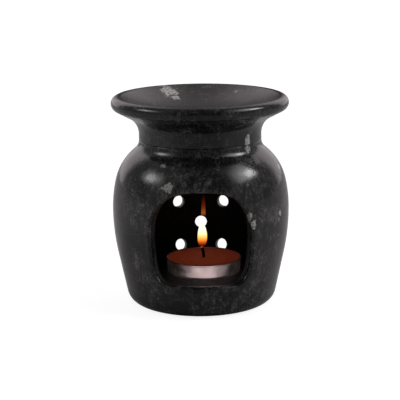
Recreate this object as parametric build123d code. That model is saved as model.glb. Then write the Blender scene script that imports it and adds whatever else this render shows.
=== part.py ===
from build123d import *
import math
import os

# A turned stone oil burner: a hollow pot with a window and five vents, a lift-off dish that closes
# its mouth, and the tealight that heats the dish from below.
# Lengths are in millimetres and angles in degrees. The origin is on the table, under the middle of
# the pot. +Z is up, and the window faces -Y.

# Outside of the pot, from the table up. The curve shares say how much fuller or tighter each arc is
# than the one arc that would join the belly to the foot, or the belly to the neck, by itself.
belly_radius = 43.9
belly_height = 47.6
base_inset = 13.5
foot_round = 7.1
neck_radius = 30.3
neck_round = 6.4
seam_height = 82.2
seam_ease = 0.4
flank_curve_share = 0.78
belly_curve_share = 1.464
shoulder_curve_share = 0.606

# Inside of the pot
wall = 5.0
floor_height = 14.3
floor_corner = 3.0
neck_land = 5.8

# Window in the front, measured across the belly where the cut meets the outer face. It is wider than
# the tealight by the fingers' room on each side.
window_side_room = 5.9
window_waist_height = 38.0
crown_height = 63.2
sill_rise = 2.3
window_corner = 9.5
crown_pull_share = 0.66
quarter_round_share = 0.5523
window_ease = 1.2
window_inner_ease = 0.8

# Vents in the back, drilled square to the wall as two pairs about a single hole
vent_radius = 3.1
vent_middle_height = 29.8
vent_row_rise = 11.6
vent_side_angle = 17.2
vent_ease = 0.4

# Dish
dish_height = 21.6
rim_overhang = 13.5
rim_round = 3.5
bowl_depth = 9.0
bowl_floor = 6.0
underside_angle = 28.0
cove_radius = 10.0
spigot_length = 5.0
spigot_clearance = 0.35
spigot_wall = 5.0
spigot_ease = 0.5
recess_corner = 4.0

# Tealight: a low cup of the standard 38 across, set a little to one side of the middle
cup_radius = 19.0
cup_height = 7.5
cup_side_shift = 1.2
cup_draft = 0.5
cup_skin = 0.4
cup_corner = 1.6
lip_bead = 0.7
lip_bead_ease = 0.2
wax_gap = 0.08
wax_drop = 0.5
wick_radius = 0.8
wick_rise = 5.6
wick_bend_radius = 16.0
tab_radius = 6.3
tab_thickness = 0.3
ferrule_radius = 1.4
ferrule_height = 3.0
ferrule_gap = 0.04

# How far a cutting tool runs past the face that it cuts
overrun = 8.0

upright = 90.0
half_turn = 180.0


def away(point, angle, distance):
    """Return the point that lies a distance away, at an angle above the outward direction."""
    turn = math.radians(angle)
    return (point[0] + distance * math.cos(turn), point[1] + distance * math.sin(turn))


# Sizes that follow from the ones above
base_radius = belly_radius - base_inset
mouth_radius = neck_radius - neck_land
rim_radius = neck_radius + rim_overhang
window_half_width = cup_radius + window_side_room
sill_height = floor_height + sill_rise
jamb_depth = math.sqrt(belly_radius**2 - window_half_width**2)


def flank_radius():
    """Return the radius of the flank's arc, from the single arc that joins belly and foot."""
    across = base_inset
    drop = belly_height - foot_round
    single = (across**2 + drop**2 - foot_round**2) / (2 * (across - foot_round))
    return flank_curve_share * single


def upper_radii():
    """Return the radii of the belly's and the shoulder's arc, from the single arc to the neck."""
    across = belly_radius - neck_radius - neck_round
    climb = seam_height - belly_height
    single = (across**2 + climb**2 - neck_round**2) / (2 * (across + neck_round))
    return belly_curve_share * single, shoulder_curve_share * single


# Centres of the arcs that make the pot's side. Each arc runs into the next without a corner, so the
# shoulder's centre lies where two circles about its neighbours' centres cross.
flank_curve = flank_radius()
belly_curve, shoulder_curve = upper_radii()
foot_centre = (base_radius, foot_round)
flank_centre = (belly_radius - flank_curve, belly_height)
belly_centre = (belly_radius - belly_curve, belly_height)
neck_centre = (neck_radius + neck_round, seam_height)


def bearing(start, end):
    """Return the distance between two points, and the angle of their line above outward."""
    across, rise = end[0] - start[0], end[1] - start[1]
    return math.hypot(across, rise), math.degrees(math.atan2(rise, across))


def side_angles():
    """Return the cone's lean below the belly, and the angles where the upper arcs meet."""
    span, fall = bearing(flank_centre, foot_centre)
    lean = -fall - math.degrees(math.acos((flank_curve - foot_round) / span))
    span, climb = bearing(belly_centre, neck_centre)
    inner, outer = belly_curve - shoulder_curve, shoulder_curve + neck_round
    opening = math.degrees(math.acos((inner**2 + span**2 - outer**2) / (2 * inner * span)))
    belly_turn = climb - opening
    _, neck_turn = bearing(away(belly_centre, belly_turn, inner), neck_centre)
    return lean, belly_turn, neck_turn


lean_angle, belly_turn_angle, neck_turn_angle = side_angles()
shoulder_centre = away(belly_centre, belly_turn_angle, belly_curve - shoulder_curve)


def side(inset, top_angle):
    """Draw the pot's side from the foot to the shoulder, moved into the wall by an inset."""
    foot = away(foot_centre, -lean_angle, foot_round - inset)
    Line(foot, away(flank_centre, -lean_angle, flank_curve - inset))
    CenterArc(flank_centre, flank_curve - inset, -lean_angle, lean_angle)
    CenterArc(belly_centre, belly_curve - inset, 0, belly_turn_angle)
    CenterArc(shoulder_centre, shoulder_curve - inset, belly_turn_angle, top_angle - belly_turn_angle)
    return foot


def pot_blank():
    """Turn the pot's outside as one solid."""
    with BuildPart() as blank:
        with BuildSketch(Plane.XZ):
            with BuildLine():
                Polyline((neck_radius, seam_height), (0, seam_height), (0, 0), (base_radius, 0))
                CenterArc(foot_centre, foot_round, -upright, upright - lean_angle)
                side(0, neck_turn_angle)
                CenterArc(neck_centre, neck_round, half_turn + neck_turn_angle, -neck_turn_angle)
            make_face()
        revolve(axis=Axis.Z)
        chamfer(blank.edges().group_by(Axis.Z)[-1], seam_ease)
    return blank.part


def chamber():
    """Turn the space that is bored out of the pot: the candle's chamber and the mouth above it."""
    # The shoulder's inner arc ends at the mouth, or at its own top where that lies outside the mouth
    across = mouth_radius - shoulder_centre[0]
    roof_angle = math.degrees(math.acos(max(0, across) / (shoulder_curve - wall)))
    roof = away(shoulder_centre, roof_angle, shoulder_curve - wall)
    with BuildPart() as hollow:
        with BuildSketch(Plane.XZ):
            with BuildLine():
                foot = side(wall, roof_angle)
                Polyline(roof, (0, roof[1]), (0, foot[1]), foot)
            make_face()
        revolve(axis=Axis.Z)
        split(bisect_by=Plane.XY.offset(floor_height), keep=Keep.TOP)
        fillet(hollow.edges().group_by(Axis.Z)[0], floor_corner)
        with Locations((0, 0, floor_height)):
            Cylinder(
                mouth_radius, seam_height - floor_height + overrun,
                align=(Align.CENTER, Align.CENTER, Align.MIN),
            )
    return hollow.part


def window_outline(reach):
    """Draw the window in the plane that lies a share of the jambs' depth in front of the axis."""
    half = reach * window_half_width
    corner = reach * window_corner
    kept = 1 - quarter_round_share
    for hand in (1, -1):
        Bezier(
            (hand * half, window_waist_height),
            (hand * half, window_waist_height + crown_pull_share * (crown_height - window_waist_height)),
            (hand * crown_pull_share * half, crown_height),
            (0, crown_height),
        )
        Line((hand * half, window_waist_height), (hand * half, sill_height + window_corner))
        Bezier(
            (hand * half, sill_height + window_corner),
            (hand * half, sill_height + kept * window_corner),
            (hand * (half - kept * corner), sill_height),
            (hand * (half - corner), sill_height),
        )
    Line((half - corner, sill_height), (corner - half, sill_height))


def window_cutter():
    """Make the window's cutter. It narrows towards the axis, so the jambs stand square to the wall."""
    near = (jamb_depth - wall - overrun) / jamb_depth
    far = (belly_radius + overrun) / jamb_depth
    with BuildPart() as cutter:
        for reach in (near, far):
            with BuildSketch(Plane.XZ.offset(reach * jamb_depth)):
                with BuildLine():
                    window_outline(reach)
                make_face()
        loft(ruled=True)
    return cutter.part


def side_at(height):
    """Return the pot's outer radius and its lean outwards at a height below the belly's top."""
    drop = belly_height - height
    if drop <= 0:
        return belly_radius, 0
    lean = min(lean_angle, math.degrees(math.asin(min(1, drop / flank_curve))))
    on_arc = away(flank_centre, -lean, flank_curve)
    return on_arc[0] - (on_arc[1] - height) * math.tan(math.radians(lean)), lean


def vent_drill():
    """Make one drill along +Z, with the countersink that breaks the hole's edge where z is zero."""
    with BuildPart() as drill:
        with BuildSketch(Plane.XZ):
            with BuildLine():
                Polyline(
                    (0, -wall - overrun), (vent_radius, -wall - overrun), (vent_radius, -vent_ease),
                    (vent_radius + vent_ease + overrun, overrun), (0, overrun), (0, -wall - overrun),
                )
            make_face()
        revolve(axis=Axis.Z)
    return drill.part


def vent_drills():
    """Set the five drills square to the wall, where they come out at the back."""
    rows = (
        (vent_middle_height - vent_row_rise, (-vent_side_angle, vent_side_angle)),
        (vent_middle_height, (0,)),
        (vent_middle_height + vent_row_rise, (-vent_side_angle, vent_side_angle)),
    )
    drills = []
    for height, angles in rows:
        radius, lean = side_at(height)
        for angle in angles:
            place = Rot(0, 0, angle) * Pos(0, radius, height) * Rot(-upright - lean, 0, 0)
            drills.append(place * vent_drill())
    return drills


def from_axis(point):
    """Return a point's distance from the pot's axis."""
    return math.hypot(point.X, point.Y)


def rim_edges(edges, inside):
    """Return the edges of a cut that lie on one face of the wall, the inner or the outer one."""
    chosen = ShapeList()
    for edge in edges:
        middle = edge @ 0.5
        radius, _ = side_at(middle.Z)
        deep = radius - from_axis(middle) > wall / 2
        crosses = abs(from_axis(edge @ 0) - from_axis(edge @ 1)) > wall / 2
        if deep == inside and not crosses:
            chosen.append(edge)
    return chosen


def cut_and_ease(stone, cutter, outer_ease, inner_ease):
    """Cut an opening through the wall and round its edges on both faces."""
    opened = stone - cutter
    for inside, ease in ((False, outer_ease), (True, inner_ease)):
        edges = new_edges(stone, cutter, combined=opened)
        opened = fillet(rim_edges(edges, inside), ease)
    return opened


def burner_body():
    """Make the pot: turned, bored out through its mouth, then cut for the window and the vents."""
    pot = pot_blank() - chamber() - vent_drills()
    return cut_and_ease(pot, window_cutter(), window_ease, window_inner_ease)


def corner_near(sketch, point):
    """Return the corner of a sketch that lies nearest to a point."""
    return sketch.vertices().sort_by_distance((point[0], point[1], 0))[0]


def oil_dish():
    """Make the dish with its rim, its cove and its neck, and the spigot that seats in the mouth."""
    slope = math.radians(underside_angle)
    top = seam_height + dish_height
    bowl_foot = top - bowl_depth
    rim_centre = (rim_radius - rim_round, top - rim_round)
    # The bowl is a piece of a sphere that meets the rim's round without a step
    drop = rim_centre[1] - bowl_foot
    bowl_radius = (rim_centre[0] ** 2 + drop**2 - rim_round**2) / (2 * (rim_round + drop))
    bowl_top = bowl_foot + bowl_radius
    lip_angle = math.degrees(math.atan2(bowl_top - rim_centre[1], rim_centre[0]))
    # The cove meets the upright neck and the sloping underside without a step
    under = away(rim_centre, underside_angle - upright, rim_round)
    cove_x = neck_radius + cove_radius
    cove_z = under[1] + ((cove_x - under[0]) * math.sin(slope) - cove_radius) / math.cos(slope)
    cove_turn = upright - underside_angle
    # The recess under the bowl leaves an even floor, and the spigot's wall round it
    spigot_radius = mouth_radius - spigot_clearance
    spigot_foot = seam_height - spigot_length
    recess_radius = spigot_radius - spigot_wall
    dome_radius = bowl_radius + bowl_floor
    dome_edge = (recess_radius, bowl_top - math.sqrt(dome_radius**2 - recess_radius**2))
    with BuildPart() as dish:
        with BuildSketch(Plane.XZ) as section:
            with BuildLine():
                Polyline(
                    dome_edge, (recess_radius, spigot_foot), (spigot_radius, spigot_foot),
                    (spigot_radius, seam_height), (neck_radius, seam_height), (neck_radius, cove_z),
                )
                CenterArc((cove_x, cove_z), cove_radius, half_turn, -cove_turn)
                Line(away((cove_x, cove_z), half_turn - cove_turn, cove_radius), under)
                CenterArc(rim_centre, rim_round, -cove_turn, half_turn + cove_turn - lip_angle)
                RadiusArc(away(rim_centre, half_turn - lip_angle, rim_round), (0, bowl_foot), bowl_radius)
                Line((0, bowl_foot), (0, bowl_foot - bowl_floor))
                RadiusArc((0, bowl_foot - bowl_floor), dome_edge, -dome_radius)
            make_face()
            fillet(corner_near(section, dome_edge), recess_corner)
            chamfer(corner_near(section, (spigot_radius, spigot_foot)), spigot_ease)
            chamfer(corner_near(section, (neck_radius, seam_height)), seam_ease)
        revolve(axis=Axis.Z)
    return dish.part


def cup_side():
    """Return the cup's inner radius at its base and at its lip."""
    top = cup_radius - lip_bead
    return top - cup_draft, top


def tealight_cup():
    """Make the drawn metal cup, with its rolled lip."""
    base, top = cup_side()
    bead_foot = cup_height - lip_bead
    with BuildPart() as cup:
        with BuildSketch(Plane.XZ) as section:
            with BuildLine():
                Polyline(
                    (0, 0), (base + cup_skin, 0), (top + cup_skin, bead_foot), (cup_radius, bead_foot),
                    (cup_radius, cup_height), (top, cup_height), (base, cup_skin), (0, cup_skin), (0, 0),
                )
            make_face()
            chamfer(corner_near(section, (base + cup_skin, 0)), cup_corner)
            chamfer(corner_near(section, (base, cup_skin)), cup_corner)
            chamfer(corner_near(section, (cup_radius, bead_foot)), lip_bead_ease)
            chamfer(corner_near(section, (cup_radius, cup_height)), lip_bead_ease)
        revolve(axis=Axis.Z)
    return cup.part


def wax_level():
    """Return the height of the wax above the cup's base."""
    return cup_height - wax_drop


def tealight_wax():
    """Make the wax, cast round the wick and its tab."""
    base, top = cup_side()
    level = wax_level()
    side_top = base + (top - base) * (level - cup_skin) / (cup_height - cup_skin) - wax_gap
    bore = wick_radius + wax_gap
    neck = ferrule_radius + wax_gap
    tab = tab_radius + wax_gap
    tab_top = cup_skin + tab_thickness + wax_gap
    ferrule_top = cup_skin + ferrule_height + wax_gap
    with BuildPart() as wax:
        with BuildSketch(Plane.XZ) as section:
            with BuildLine():
                Polyline(
                    (tab, cup_skin), (base - wax_gap, cup_skin), (side_top, level), (bore, level),
                    (bore, ferrule_top), (neck, ferrule_top), (neck, tab_top), (tab, tab_top),
                    (tab, cup_skin),
                )
            make_face()
            chamfer(corner_near(section, (base - wax_gap, cup_skin)), cup_corner)
        revolve(axis=Axis.Z)
    return wax.part


def wick_tab():
    """Make the pressed tab that stands on the cup's base, with the ferrule that grips the wick."""
    bore = wick_radius + ferrule_gap
    tab_top = cup_skin + tab_thickness
    ferrule_top = cup_skin + ferrule_height
    with BuildPart() as tab:
        with BuildSketch(Plane.XZ):
            with BuildLine():
                Polyline(
                    (bore, cup_skin), (tab_radius, cup_skin), (tab_radius, tab_top),
                    (ferrule_radius, tab_top), (ferrule_radius, ferrule_top), (bore, ferrule_top),
                    (bore, cup_skin),
                )
            make_face()
        revolve(axis=Axis.Z)
    return tab.part


def tealight_wick():
    """Make the wick: upright in the wax, and bent over a little where it stands free."""
    with BuildPart() as wick:
        with BuildLine(Plane.XZ) as path:
            stem = Line((0, cup_skin), (0, wax_level()))
            JernArc(stem @ 1, stem % 1, wick_bend_radius, math.degrees(wick_rise / wick_bend_radius))
        with BuildSketch(Plane.XY.offset(cup_skin)):
            Circle(wick_radius)
        sweep(path=path.line)
    return wick.part


os.makedirs("parts", exist_ok=True)
seat = Pos(cup_side_shift, 0, floor_height)
nodes = {
    "burner_body": burner_body(),
    "oil_dish": oil_dish(),
    "tealight_cup": seat * tealight_cup(),
    "tealight_wax": seat * tealight_wax(),
    "wick_tab": seat * wick_tab(),
    "tealight_wick": seat * tealight_wick(),
}
for name, shape in nodes.items():
    export_step(shape, f"parts/{name}.step")
    print(name, "volume", round(shape.volume), "solids", len(shape.solids()))
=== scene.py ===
"""Looks of a turned marble oil burner: a hollow pot, its lift-off dish and a lit tealight.

Lengths in the sizes are millimetres and angles are degrees. Meshes are in metres, in the frame of the
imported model: +Z is up, the window faces -Y and the origin is on the table under the pot.
"""
import logging
import math
from dataclasses import dataclass, field
from enum import Enum
from typing import Callable, Optional, Sequence, Union

import bpy
import numpy as np
from mathutils import Matrix, Vector


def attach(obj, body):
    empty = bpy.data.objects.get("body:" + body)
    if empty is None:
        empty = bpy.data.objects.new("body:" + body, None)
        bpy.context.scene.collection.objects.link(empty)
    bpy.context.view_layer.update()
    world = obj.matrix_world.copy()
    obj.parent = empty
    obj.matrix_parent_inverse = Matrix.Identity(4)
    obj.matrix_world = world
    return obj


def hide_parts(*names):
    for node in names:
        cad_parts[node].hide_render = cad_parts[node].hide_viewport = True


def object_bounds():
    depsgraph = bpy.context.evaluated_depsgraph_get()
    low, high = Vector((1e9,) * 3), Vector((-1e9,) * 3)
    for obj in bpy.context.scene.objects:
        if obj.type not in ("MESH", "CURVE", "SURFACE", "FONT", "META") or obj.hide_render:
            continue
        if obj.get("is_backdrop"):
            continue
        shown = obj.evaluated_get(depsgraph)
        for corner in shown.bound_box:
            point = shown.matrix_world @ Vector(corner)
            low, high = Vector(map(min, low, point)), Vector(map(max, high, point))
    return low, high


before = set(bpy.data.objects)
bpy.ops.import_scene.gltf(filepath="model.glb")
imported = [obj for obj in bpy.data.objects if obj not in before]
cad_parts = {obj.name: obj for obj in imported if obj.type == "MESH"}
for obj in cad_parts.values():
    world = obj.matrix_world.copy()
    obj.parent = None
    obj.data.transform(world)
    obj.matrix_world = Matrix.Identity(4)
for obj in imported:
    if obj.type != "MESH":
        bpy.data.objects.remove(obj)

Array = np.ndarray
Point = tuple[float, float]
Triple = tuple[float, float, float]
Quad = tuple[float, float, float, float]
Colour = Triple
Stops = tuple[tuple[float, Colour], ...]
Socket = bpy.types.NodeSocket
Piece = bpy.types.Object

MM = 0.001
DEGREES = 180.0 / math.pi
FRONT, BACK = -90.0, 90.0
SAME_PLACE = 1e-7
NEAR_AXIS = 1e-6
LEVEL = 1e-6
CORNER_STEPS = 40
ROUND_STEPS = 6
LINING_STEPS = 5
DRILL_STEPS = 6
RIM_PROBE = 0.004
RING_CROWDING = 1.4
MIX_SHARE, MIX_FIRST, MIX_SECOND, MIX_RESULT = 0, 6, 7, 2
log = logging.getLogger("oil_burner")


# Outlines: runs of points in the plane through the axis, as distance from the axis and height


def bearing_point(point: Point, angle: float, distance: float) -> Point:
    """Return the point a distance away, at an angle above the outward direction."""
    turn = math.radians(angle)
    return (point[0] + distance * math.cos(turn), point[1] + distance * math.sin(turn))


def bearing(start: Point, end: Point) -> Point:
    """Return the distance between two points and the angle of their line above outward."""
    across, rise = end[0] - start[0], end[1] - start[1]
    return math.hypot(across, rise), math.degrees(math.atan2(rise, across))


def arc(centre: Point, radius: float, start: float, end: float, count: int = 300) -> Array:
    """Make a run of points on a circle: centre plus radius times cosine and sine of the turn.

    Args:
        centre: Middle of the circle.
        radius: Radius of the circle.
        start: Angle of the first point above outward.
        end: Angle of the last point above outward.
        count: Number of steps.

    Returns:
        Points, one row each.
    """
    turn = np.radians(np.linspace(start, end, count + 1))
    return np.stack([centre[0] + radius * np.cos(turn), centre[1] + radius * np.sin(turn)], axis=-1)


def straight(*corners: Point, count: int = 60) -> list[Array]:
    """Make the straight runs between corners, each as evenly spaced points."""
    share = np.linspace(0.0, 1.0, count + 1)[:, None]
    return [
        np.asarray(a, float) * (1.0 - share) + np.asarray(b, float) * share
        for a, b in zip(corners[:-1], corners[1:])
    ]


def cubic(*pulls: Union[Point, Array], count: int) -> Array:
    """Make a run of points on a cubic curve through the first and last of four points.

    At each share t of the way the points are weighed by (1 - t)^3, 3 (1 - t)^2 t, 3 (1 - t) t^2 and t^3.
    """
    t = np.linspace(0.0, 1.0, count + 1)[:, None]
    a, b, c, d = (np.asarray(pull, float) for pull in pulls)
    return (1 - t) ** 3 * a + 3 * (1 - t) ** 2 * t * b + 3 * (1 - t) * t**2 * c + t**3 * d


def travelled(line: Array) -> Array:
    """Return how far along a line each of its points lies."""
    steps = np.linalg.norm(np.diff(line, axis=0), axis=1)
    return np.concatenate([[0.0], np.cumsum(steps)])


def cut_back(line: Array, length: float, at_end: bool) -> Array:
    """Shorten a line by a length at its start or its end."""
    way = travelled(line)
    kept = (0.0, way[-1] - length) if at_end else (length, way[-1])
    places = np.linspace(kept[0], kept[1], len(line))
    return np.stack([np.interp(places, way, line[:, k]) for k in range(line.shape[1])], axis=-1)


def heading(line: Array, at_end: bool) -> Array:
    """Return the unit direction of a line at its start or its end."""
    step = line[-1] - line[-2] if at_end else line[1] - line[0]
    return step / np.linalg.norm(step)


def joined(runs: Sequence[Array], rounds: dict[int, float]) -> Array:
    """Join runs of points into one outline, with a round where two runs meet at a corner.

    A round is a cubic curve between the two shortened runs. It leaves each along that run's own
    direction, with handles of four thirds of the radius times the tangent of a quarter of the turn.

    Args:
        runs: Runs of points, each starting where the last one ends.
        rounds: Radius of the round before the run of that index.

    Returns:
        Points of the whole outline, with no point twice.
    """
    runs = [np.array(run, float) for run in runs]
    parts: list[Array] = [runs[0]]
    for index in range(1, len(runs)):
        following = runs[index]
        radius = rounds.get(index, 0.0)
        if radius > 0.0:
            before, after = heading(parts[-1], True), heading(following, False)
            turn = math.acos(float(np.clip(before @ after, -1.0, 1.0)))
            parts[-1] = cut_back(parts[-1], radius * math.tan(turn / 2.0), True)
            following = cut_back(following, radius * math.tan(turn / 2.0), False)
            handle = 4.0 / 3.0 * math.tan(turn / 4.0) * radius
            start, end = parts[-1][-1], following[0]
            parts.append(cubic(start, start + handle * before, end - handle * after, end, count=CORNER_STEPS))
        parts.append(following)
    line = np.concatenate(parts)
    fresh = np.concatenate([[True], np.linalg.norm(np.diff(line, axis=0), axis=1) > SAME_PLACE])
    return line[fresh]


@dataclass
class Outline:
    """A dense outline in the plane through the axis, with the outward direction at each point."""

    line: Array
    way: Array = field(init=False)
    outward: Array = field(init=False)
    bend: Array = field(init=False)

    def __post_init__(self) -> None:
        """Work out the length, the outward direction and the bend along the outline."""
        self.way = travelled(self.line)
        along = np.gradient(self.line, self.way, axis=0)
        along /= np.linalg.norm(along, axis=1, keepdims=True)
        self.outward = np.stack([along[:, 1], -along[:, 0]], axis=-1)
        turning = np.unwrap(np.arctan2(along[:, 1], along[:, 0]))
        self.bend = np.concatenate([[0.0], np.cumsum(np.abs(np.diff(turning)))])

    def rows(self, start: float, end: float, step: float, per_radian: float,
             count: Optional[int] = None) -> Array:
        """Choose the places of mesh rows: evenly along the outline, and closer where it bends.

        Args:
            start: Way along the outline of the first row.
            end: Way along the outline of the last row.
            step: Spacing of rows on a straight run.
            per_radian: Further rows for each radian of bend.
            count: Number of spaces between rows, or None to work it out.

        Returns:
            Way along the outline of each row.
        """
        measure = self.way / step + self.bend * per_radian
        first, last = np.interp([start, end], self.way, measure)
        spaces = count or max(2, int(round(last - first)))
        return np.interp(np.linspace(first, last, spaces + 1), measure, self.way)

    def at(self, way: Array) -> tuple[Array, Array]:
        """Return the points and the outward directions at ways along the outline."""
        points = np.stack([np.interp(way, self.way, self.line[:, k]) for k in (0, 1)], axis=-1)
        normals = np.stack([np.interp(way, self.way, self.outward[:, k]) for k in (0, 1)], axis=-1)
        return points, normals / np.linalg.norm(normals, axis=-1, keepdims=True)


# Meshes


class Skin:
    """Gathers the points, outward directions and faces of one closed mesh."""

    def __init__(self) -> None:
        """Start with nothing."""
        self.points: list[Array] = []
        self.normals: list[Array] = []
        self.marks: list[Array] = []
        self.faces: list[Array] = []
        self.total = 0

    def add(self, points: Array, normals: Array, mark: Union[float, Array] = 0.0) -> Array:
        """Add a block of points.

        Args:
            points: Places in millimetres, with x, y and z in the last axis.
            normals: Outward directions, of the same form.
            mark: Value kept on each point for the materials to read, spread over the block's form.

        Returns:
            Index of each point, in the form of the block.
        """
        shape = points.shape[:-1]
        size = int(np.prod(shape))
        index = np.arange(self.total, self.total + size).reshape(shape)
        self.points.append(points.reshape(-1, 3))
        self.normals.append(normals.reshape(-1, 3))
        self.marks.append(np.broadcast_to(mark, shape).reshape(-1))
        self.total += size
        return index

    def grid(self, index: Array, closed: bool = False, keep: Optional[Array] = None) -> None:
        """Face a grid of points.

        Args:
            index: Point indices, rows by columns.
            closed: Whether the last column runs on into the first.
            keep: Mask of the cells that get a face.
        """
        across = np.concatenate([index, index[:, :1]], axis=1) if closed else index
        quads = np.stack([across[:-1, :-1], across[:-1, 1:], across[1:, 1:], across[1:, :-1]], axis=-1)
        self.faces.append(quads.reshape(-1, 4) if keep is None else quads[keep])

    def cap(self, ring: Array, centre: Array, aim: Array, mark: float = 0.0) -> None:
        """Close a ring of points with triangles round a new point. The last corner is given twice."""
        middle = self.add(centre[None], aim[None], mark)
        following = np.roll(ring, -1)
        self.faces.append(np.stack([np.full_like(ring, middle[0]), ring, following, following], axis=-1))

    def build(self, name: str) -> Piece:
        """Make the object, with each face turned outwards and the exact directions kept.

        Args:
            name: Name of the piece.

        Returns:
            The new object.
        """
        points = np.concatenate(self.points) * MM
        normals = np.concatenate(self.normals)
        marks = np.concatenate(self.marks)
        faces = np.concatenate(self.faces)
        used, packed = np.unique(faces, return_inverse=True)
        faces = packed.reshape(faces.shape)
        points, normals, marks = points[used], normals[used], marks[used]
        corners = points[faces]
        facing = np.cross(corners[:, 2] - corners[:, 0], corners[:, 3] - corners[:, 1])
        fan = faces[:, 2] == faces[:, 3]
        facing[fan] = np.cross(corners[fan, 1] - corners[fan, 0], corners[fan, 2] - corners[fan, 0])
        back = np.einsum("ij,ij->i", facing, normals[faces].sum(axis=1)) < 0.0
        faces[back & ~fan] = faces[back & ~fan][:, ::-1]
        faces[back & fan] = faces[back & fan][:, [0, 2, 1, 1]]
        sizes = np.where(fan, 3, 4)
        loops = faces[np.arange(4)[None, :] < sizes[:, None]]
        mesh = bpy.data.meshes.new(name)
        mesh.vertices.add(len(points))
        mesh.vertices.foreach_set("co", points.astype(np.float32).ravel())
        mesh.loops.add(len(loops))
        mesh.loops.foreach_set("vertex_index", loops.astype(np.int32))
        mesh.polygons.add(len(faces))
        starts = np.concatenate([[0], np.cumsum(sizes)[:-1]])
        mesh.polygons.foreach_set("loop_start", starts.astype(np.int32))
        mesh.update(calc_edges=True)
        mesh.validate()
        mesh.polygons.foreach_set("use_smooth", np.ones(len(mesh.polygons), dtype=bool))
        mark = mesh.attributes.new("mark", "FLOAT", "POINT")
        mark.data.foreach_set("value", marks.astype(np.float32))
        mesh.normals_split_custom_set_from_vertices(normals.tolist())
        piece = bpy.data.objects.new(name, mesh)
        bpy.context.scene.collection.objects.link(piece)
        log.info("%s: %d points, %d faces", name, len(points), len(faces))
        return piece


def around(points: Array, normals: Array, angles: Array) -> tuple[Array, Array]:
    """Turn outline points round the axis.

    A point at distance r and height z goes to r times the cosine, r times the sine, and z. Its
    direction turns with it.

    Args:
        points: Outline points, as distance and height.
        normals: Outward directions in the outline's plane.
        angles: Turns in radians, of a form that the points' own form spreads over.

    Returns:
        Places and directions in space.
    """
    c, s = np.cos(angles), np.sin(angles)
    r, z = points[..., 0], points[..., 1]
    place = np.stack(np.broadcast_arrays(r * c, r * s, z + 0.0 * c), axis=-1)
    out, up = normals[..., 0], normals[..., 1]
    return place, np.stack(np.broadcast_arrays(out * c, out * s, up + 0.0 * c), axis=-1)


def turned(name: str, outline: Outline, columns: int, step: float, per_radian: float,
           shift: Triple = (0.0, 0.0, 0.0)) -> Piece:
    """Make a closed piece by turning an outline round the axis.

    Args:
        name: Name of the piece.
        outline: Outline from one end on the axis to the other, or a loop that keeps off the axis.
        columns: Number of steps round the axis.
        step: Spacing of rows on a straight run.
        per_radian: Further rows for each radian of bend.
        shift: Move of the finished piece.

    Returns:
        The new object.
    """
    points, normals = outline.at(outline.rows(0.0, outline.way[-1], step, per_radian))
    loop = outline.line[0, 0] > NEAR_AXIS
    rows = slice(0 if loop else 1, -1)
    angles = 2.0 * math.pi * np.arange(columns) / columns
    offset = np.asarray(shift, float)
    place, aim = around(points[rows, None], normals[rows, None], angles[None, :])
    skin = Skin()
    index = skin.add(place + offset, aim)
    skin.grid(np.concatenate([index, index[:1]]) if loop else index, closed=True)
    for end in () if loop else (0, -1):
        up = 1.0 if normals[end, 1] > 0.0 else -1.0
        skin.cap(index[end], np.array([0.0, 0.0, points[end, 1]]) + offset, np.array([0.0, 0.0, up]))
    return skin.build(name)


def unit(vectors: Array) -> Array:
    """Scale vectors to a length of one."""
    return vectors / np.linalg.norm(vectors, axis=-1, keepdims=True)


def swung(start: Array, end: Array, steps: int) -> Array:
    """Turn unit vectors from start to end in even steps.

    Each step is a sum of the two, weighted by the sines of the angles still to go and already gone.

    Args:
        start: Unit vectors at the first step.
        end: Unit vectors at the last step.
        steps: Number of steps.

    Returns:
        Vectors, with the steps in the first axis.
    """
    angle = np.arccos(np.clip(np.einsum("...i,...i->...", start, end), -1.0, 1.0))[..., None]
    share = np.linspace(0.0, 1.0, steps + 1).reshape(-1, *([1] * start.ndim))
    return (np.sin((1.0 - share) * angle) * start + np.sin(share * angle) * end) / np.sin(angle)


# Pot


class Side(Enum):
    """The two faces of the pot's wall."""

    OUTER = 1
    INNER = 2


@dataclass
class Opening:
    """A hole through the wall.

    Attributes:
        centre_turn: Turn round the axis of its middle, in degrees.
        centre_height: Height of its middle on each face of the wall.
        rim: Function from an angle round the hole's middle and a face to the rim's places.
        eases: Radius of the round on its edge, for each face.
        columns: Half the number of grid columns that the ring of faces round it takes.
        rows: Half the number of grid rows that the ring takes, or 0 for all that there are.
        rings: Number of rows of faces in that ring.
        spread: Stretch of heights when that ring's places are matched with the rim's.
    """

    centre_turn: float
    centre_height: dict[Side, float]
    rim: Callable[[Array, Side], Array]
    eases: dict[Side, float]
    columns: int
    rows: int
    rings: int
    spread: float = 1.0


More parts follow.
